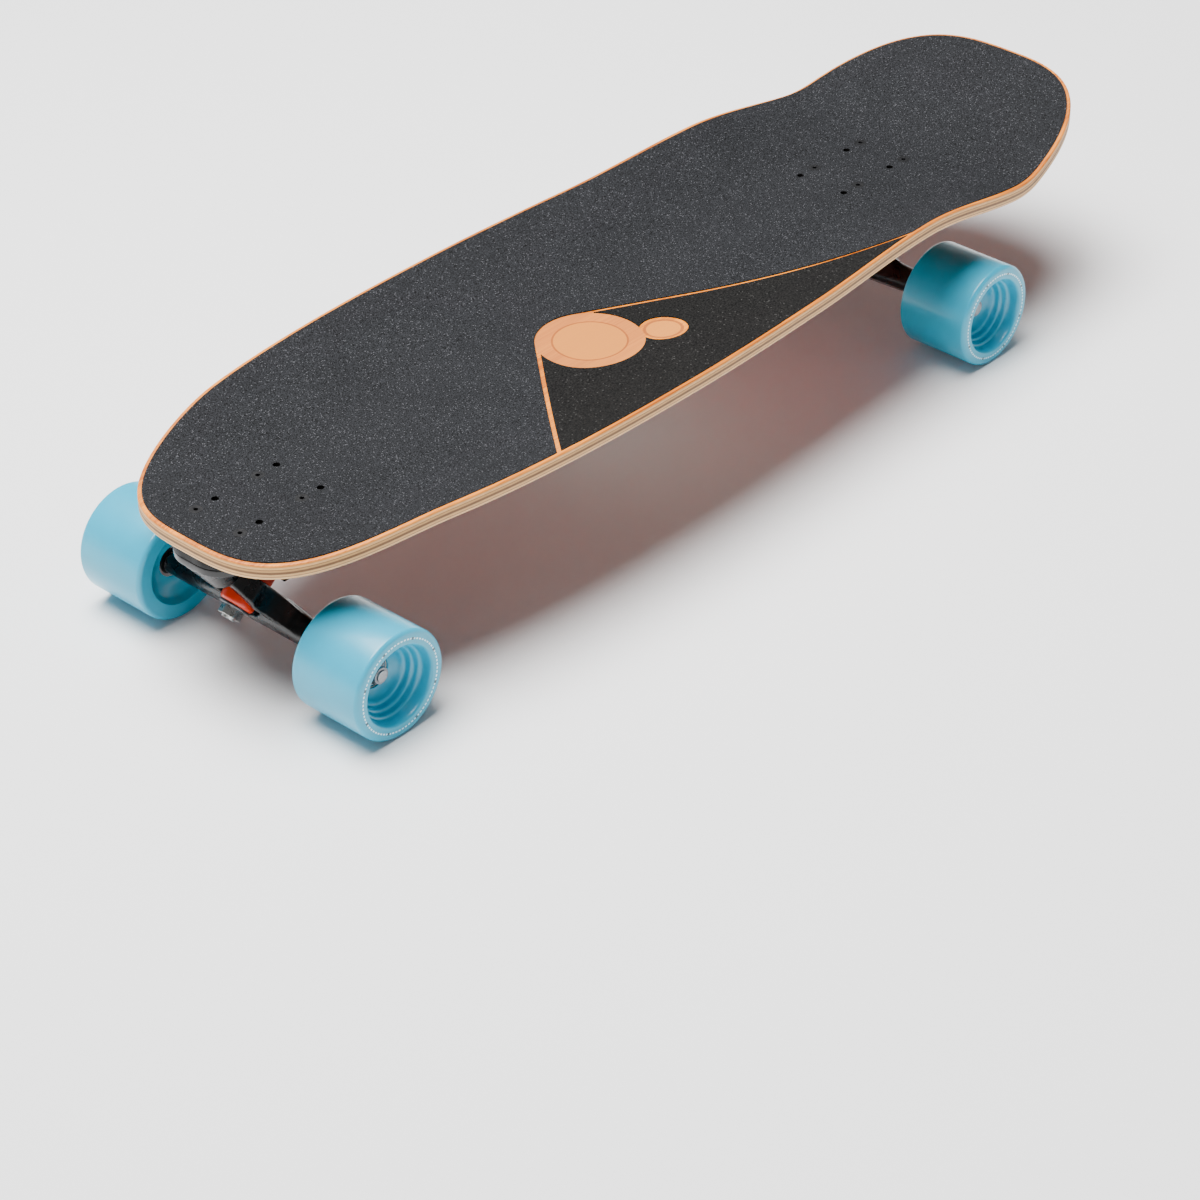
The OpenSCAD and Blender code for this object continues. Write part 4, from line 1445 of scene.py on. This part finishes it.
@dataclass
class Studio:
    """A pale floor, soft light from a wide ceiling and two panels, and the camera."""

    floor_half: float = 30.0
    floor_colour: str = "F4F4F4"
    sky: float = 0.12
    horizon: float = 1.45
    ceiling: float = 5.3
    ceiling_deg: float = 42.0
    eye: tuple[float, float, float] = (-1.61256, -1.44970, 1.34637)
    turn: tuple[float, float, float] = (0.9676807, 0.0105516, -0.8322906)
    lens: float = 105.94

    def build(self) -> None:
        """Makes the floor, the lights and the camera."""
        half = self.floor_half
        floor = new_piece(
            "studio_floor",
            np.array([(-half, -half, 0), (half, -half, 0), (half, half, 0), (-half, half, 0)]),
            [(0, 1, 2, 3)],
            Finish("studio_paper", self.floor_colour, 0.9, uneven=0.004, uneven_mm=900.0),
        )
        world = bpy.data.worlds.new("studio_air")
        world.use_nodes = True
        tree = world.node_tree
        tree.nodes["Background"].inputs["Color"].default_value = (1.0, 1.0, 1.0, 1.0)
        graph = Graph(tree)
        way = graph.node("TexCoord").outputs["Generated"]
        rise = graph.node("SeparateXYZ", {}, {"Vector": way}).outputs["Z"]
        settings = {"interpolation_type": "SMOOTHSTEP", "From Min": 0.02, "From Max": 0.26,
                    "To Min": self.horizon, "To Max": self.sky}
        glow = graph.node("MapRange", settings, {"Value": rise})
        tree.links.new(glow.outputs[0], tree.nodes["Background"].inputs["Strength"])
        bpy.context.scene.world = world
        ceiling = bpy.data.lights.new("wide_ceiling", "SUN")
        ceiling.energy = self.ceiling
        ceiling.angle = math.radians(self.ceiling_deg)
        self.hang(ceiling, (-0.25, 0.35, 1.9), (0.0, 0.0, 0.0))
        self.panel("ceiling_panel", (-0.3, 0.4, 1.9), (0.02, 0.0, 0.05), (1.6, 1.2), 70.0)
        self.panel("side_panel", (-2.4, -1.2, 0.9), (0.0, 0.0, 0.05), (1.0, 0.8), 2.5)
        camera = bpy.data.cameras.new("camera")
        camera.lens = self.lens
        camera.sensor_width = 36.0
        camera.clip_start, camera.clip_end = 0.05, 50.0
        seen_from = placed("camera", camera)
        seen_from.location = self.eye
        seen_from.rotation_euler = self.turn
        bpy.context.scene.camera = seen_from

    def panel(
        self,
        name: str,
        at: tuple[float, float, float],
        towards: tuple[float, float, float],
        size: tuple[float, float],
        watts: float,
    ) -> None:
        """Hangs one soft light panel.

        Args:
            name: the light's name.
            at: where it hangs.
            towards: the point that it faces.
            size: its width and depth.
            watts: its power.
        """
        lamp = bpy.data.lights.new(name, "AREA")
        lamp.shape = "RECTANGLE"
        lamp.size, lamp.size_y = size
        lamp.energy = watts
        self.hang(lamp, at, towards)

    def hang(
        self,
        lamp: bpy.types.Light,
        at: tuple[float, float, float],
        towards: tuple[float, float, float],
    ) -> None:
        """Puts a light in the scene.

        Args:
            lamp: the light.
            at: where it hangs.
            towards: the point that it faces.
        """
        hung = placed(lamp.name, lamp)
        hung.location = at
        way = Vector(at) - Vector(towards)
        hung.rotation_euler = way.to_track_quat("Z", "Y").to_euler()


def main() -> None:
    """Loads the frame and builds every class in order."""
    logging.basicConfig(level=logging.INFO, format="%(name)s: %(message)s")
    frame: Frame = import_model()
    Studio().build()
    for name, node in frame["nodes"].items():
        kind = next((k for k in HARDWARE if name.startswith(k.prefix)), None)
        if kind is not None:
            kind.dress(node)
    pieces = Deck().build()
    for end in End:
        pieces += Truck(end, frame["nodes"]).build()
        pieces += [Wheel(end, side).build() for side in Side]
    for piece in pieces:
        LOG.info("%s: %d faces", piece.name, len(piece.data.polygons))
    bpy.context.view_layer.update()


if __name__ == "__main__":
    main()
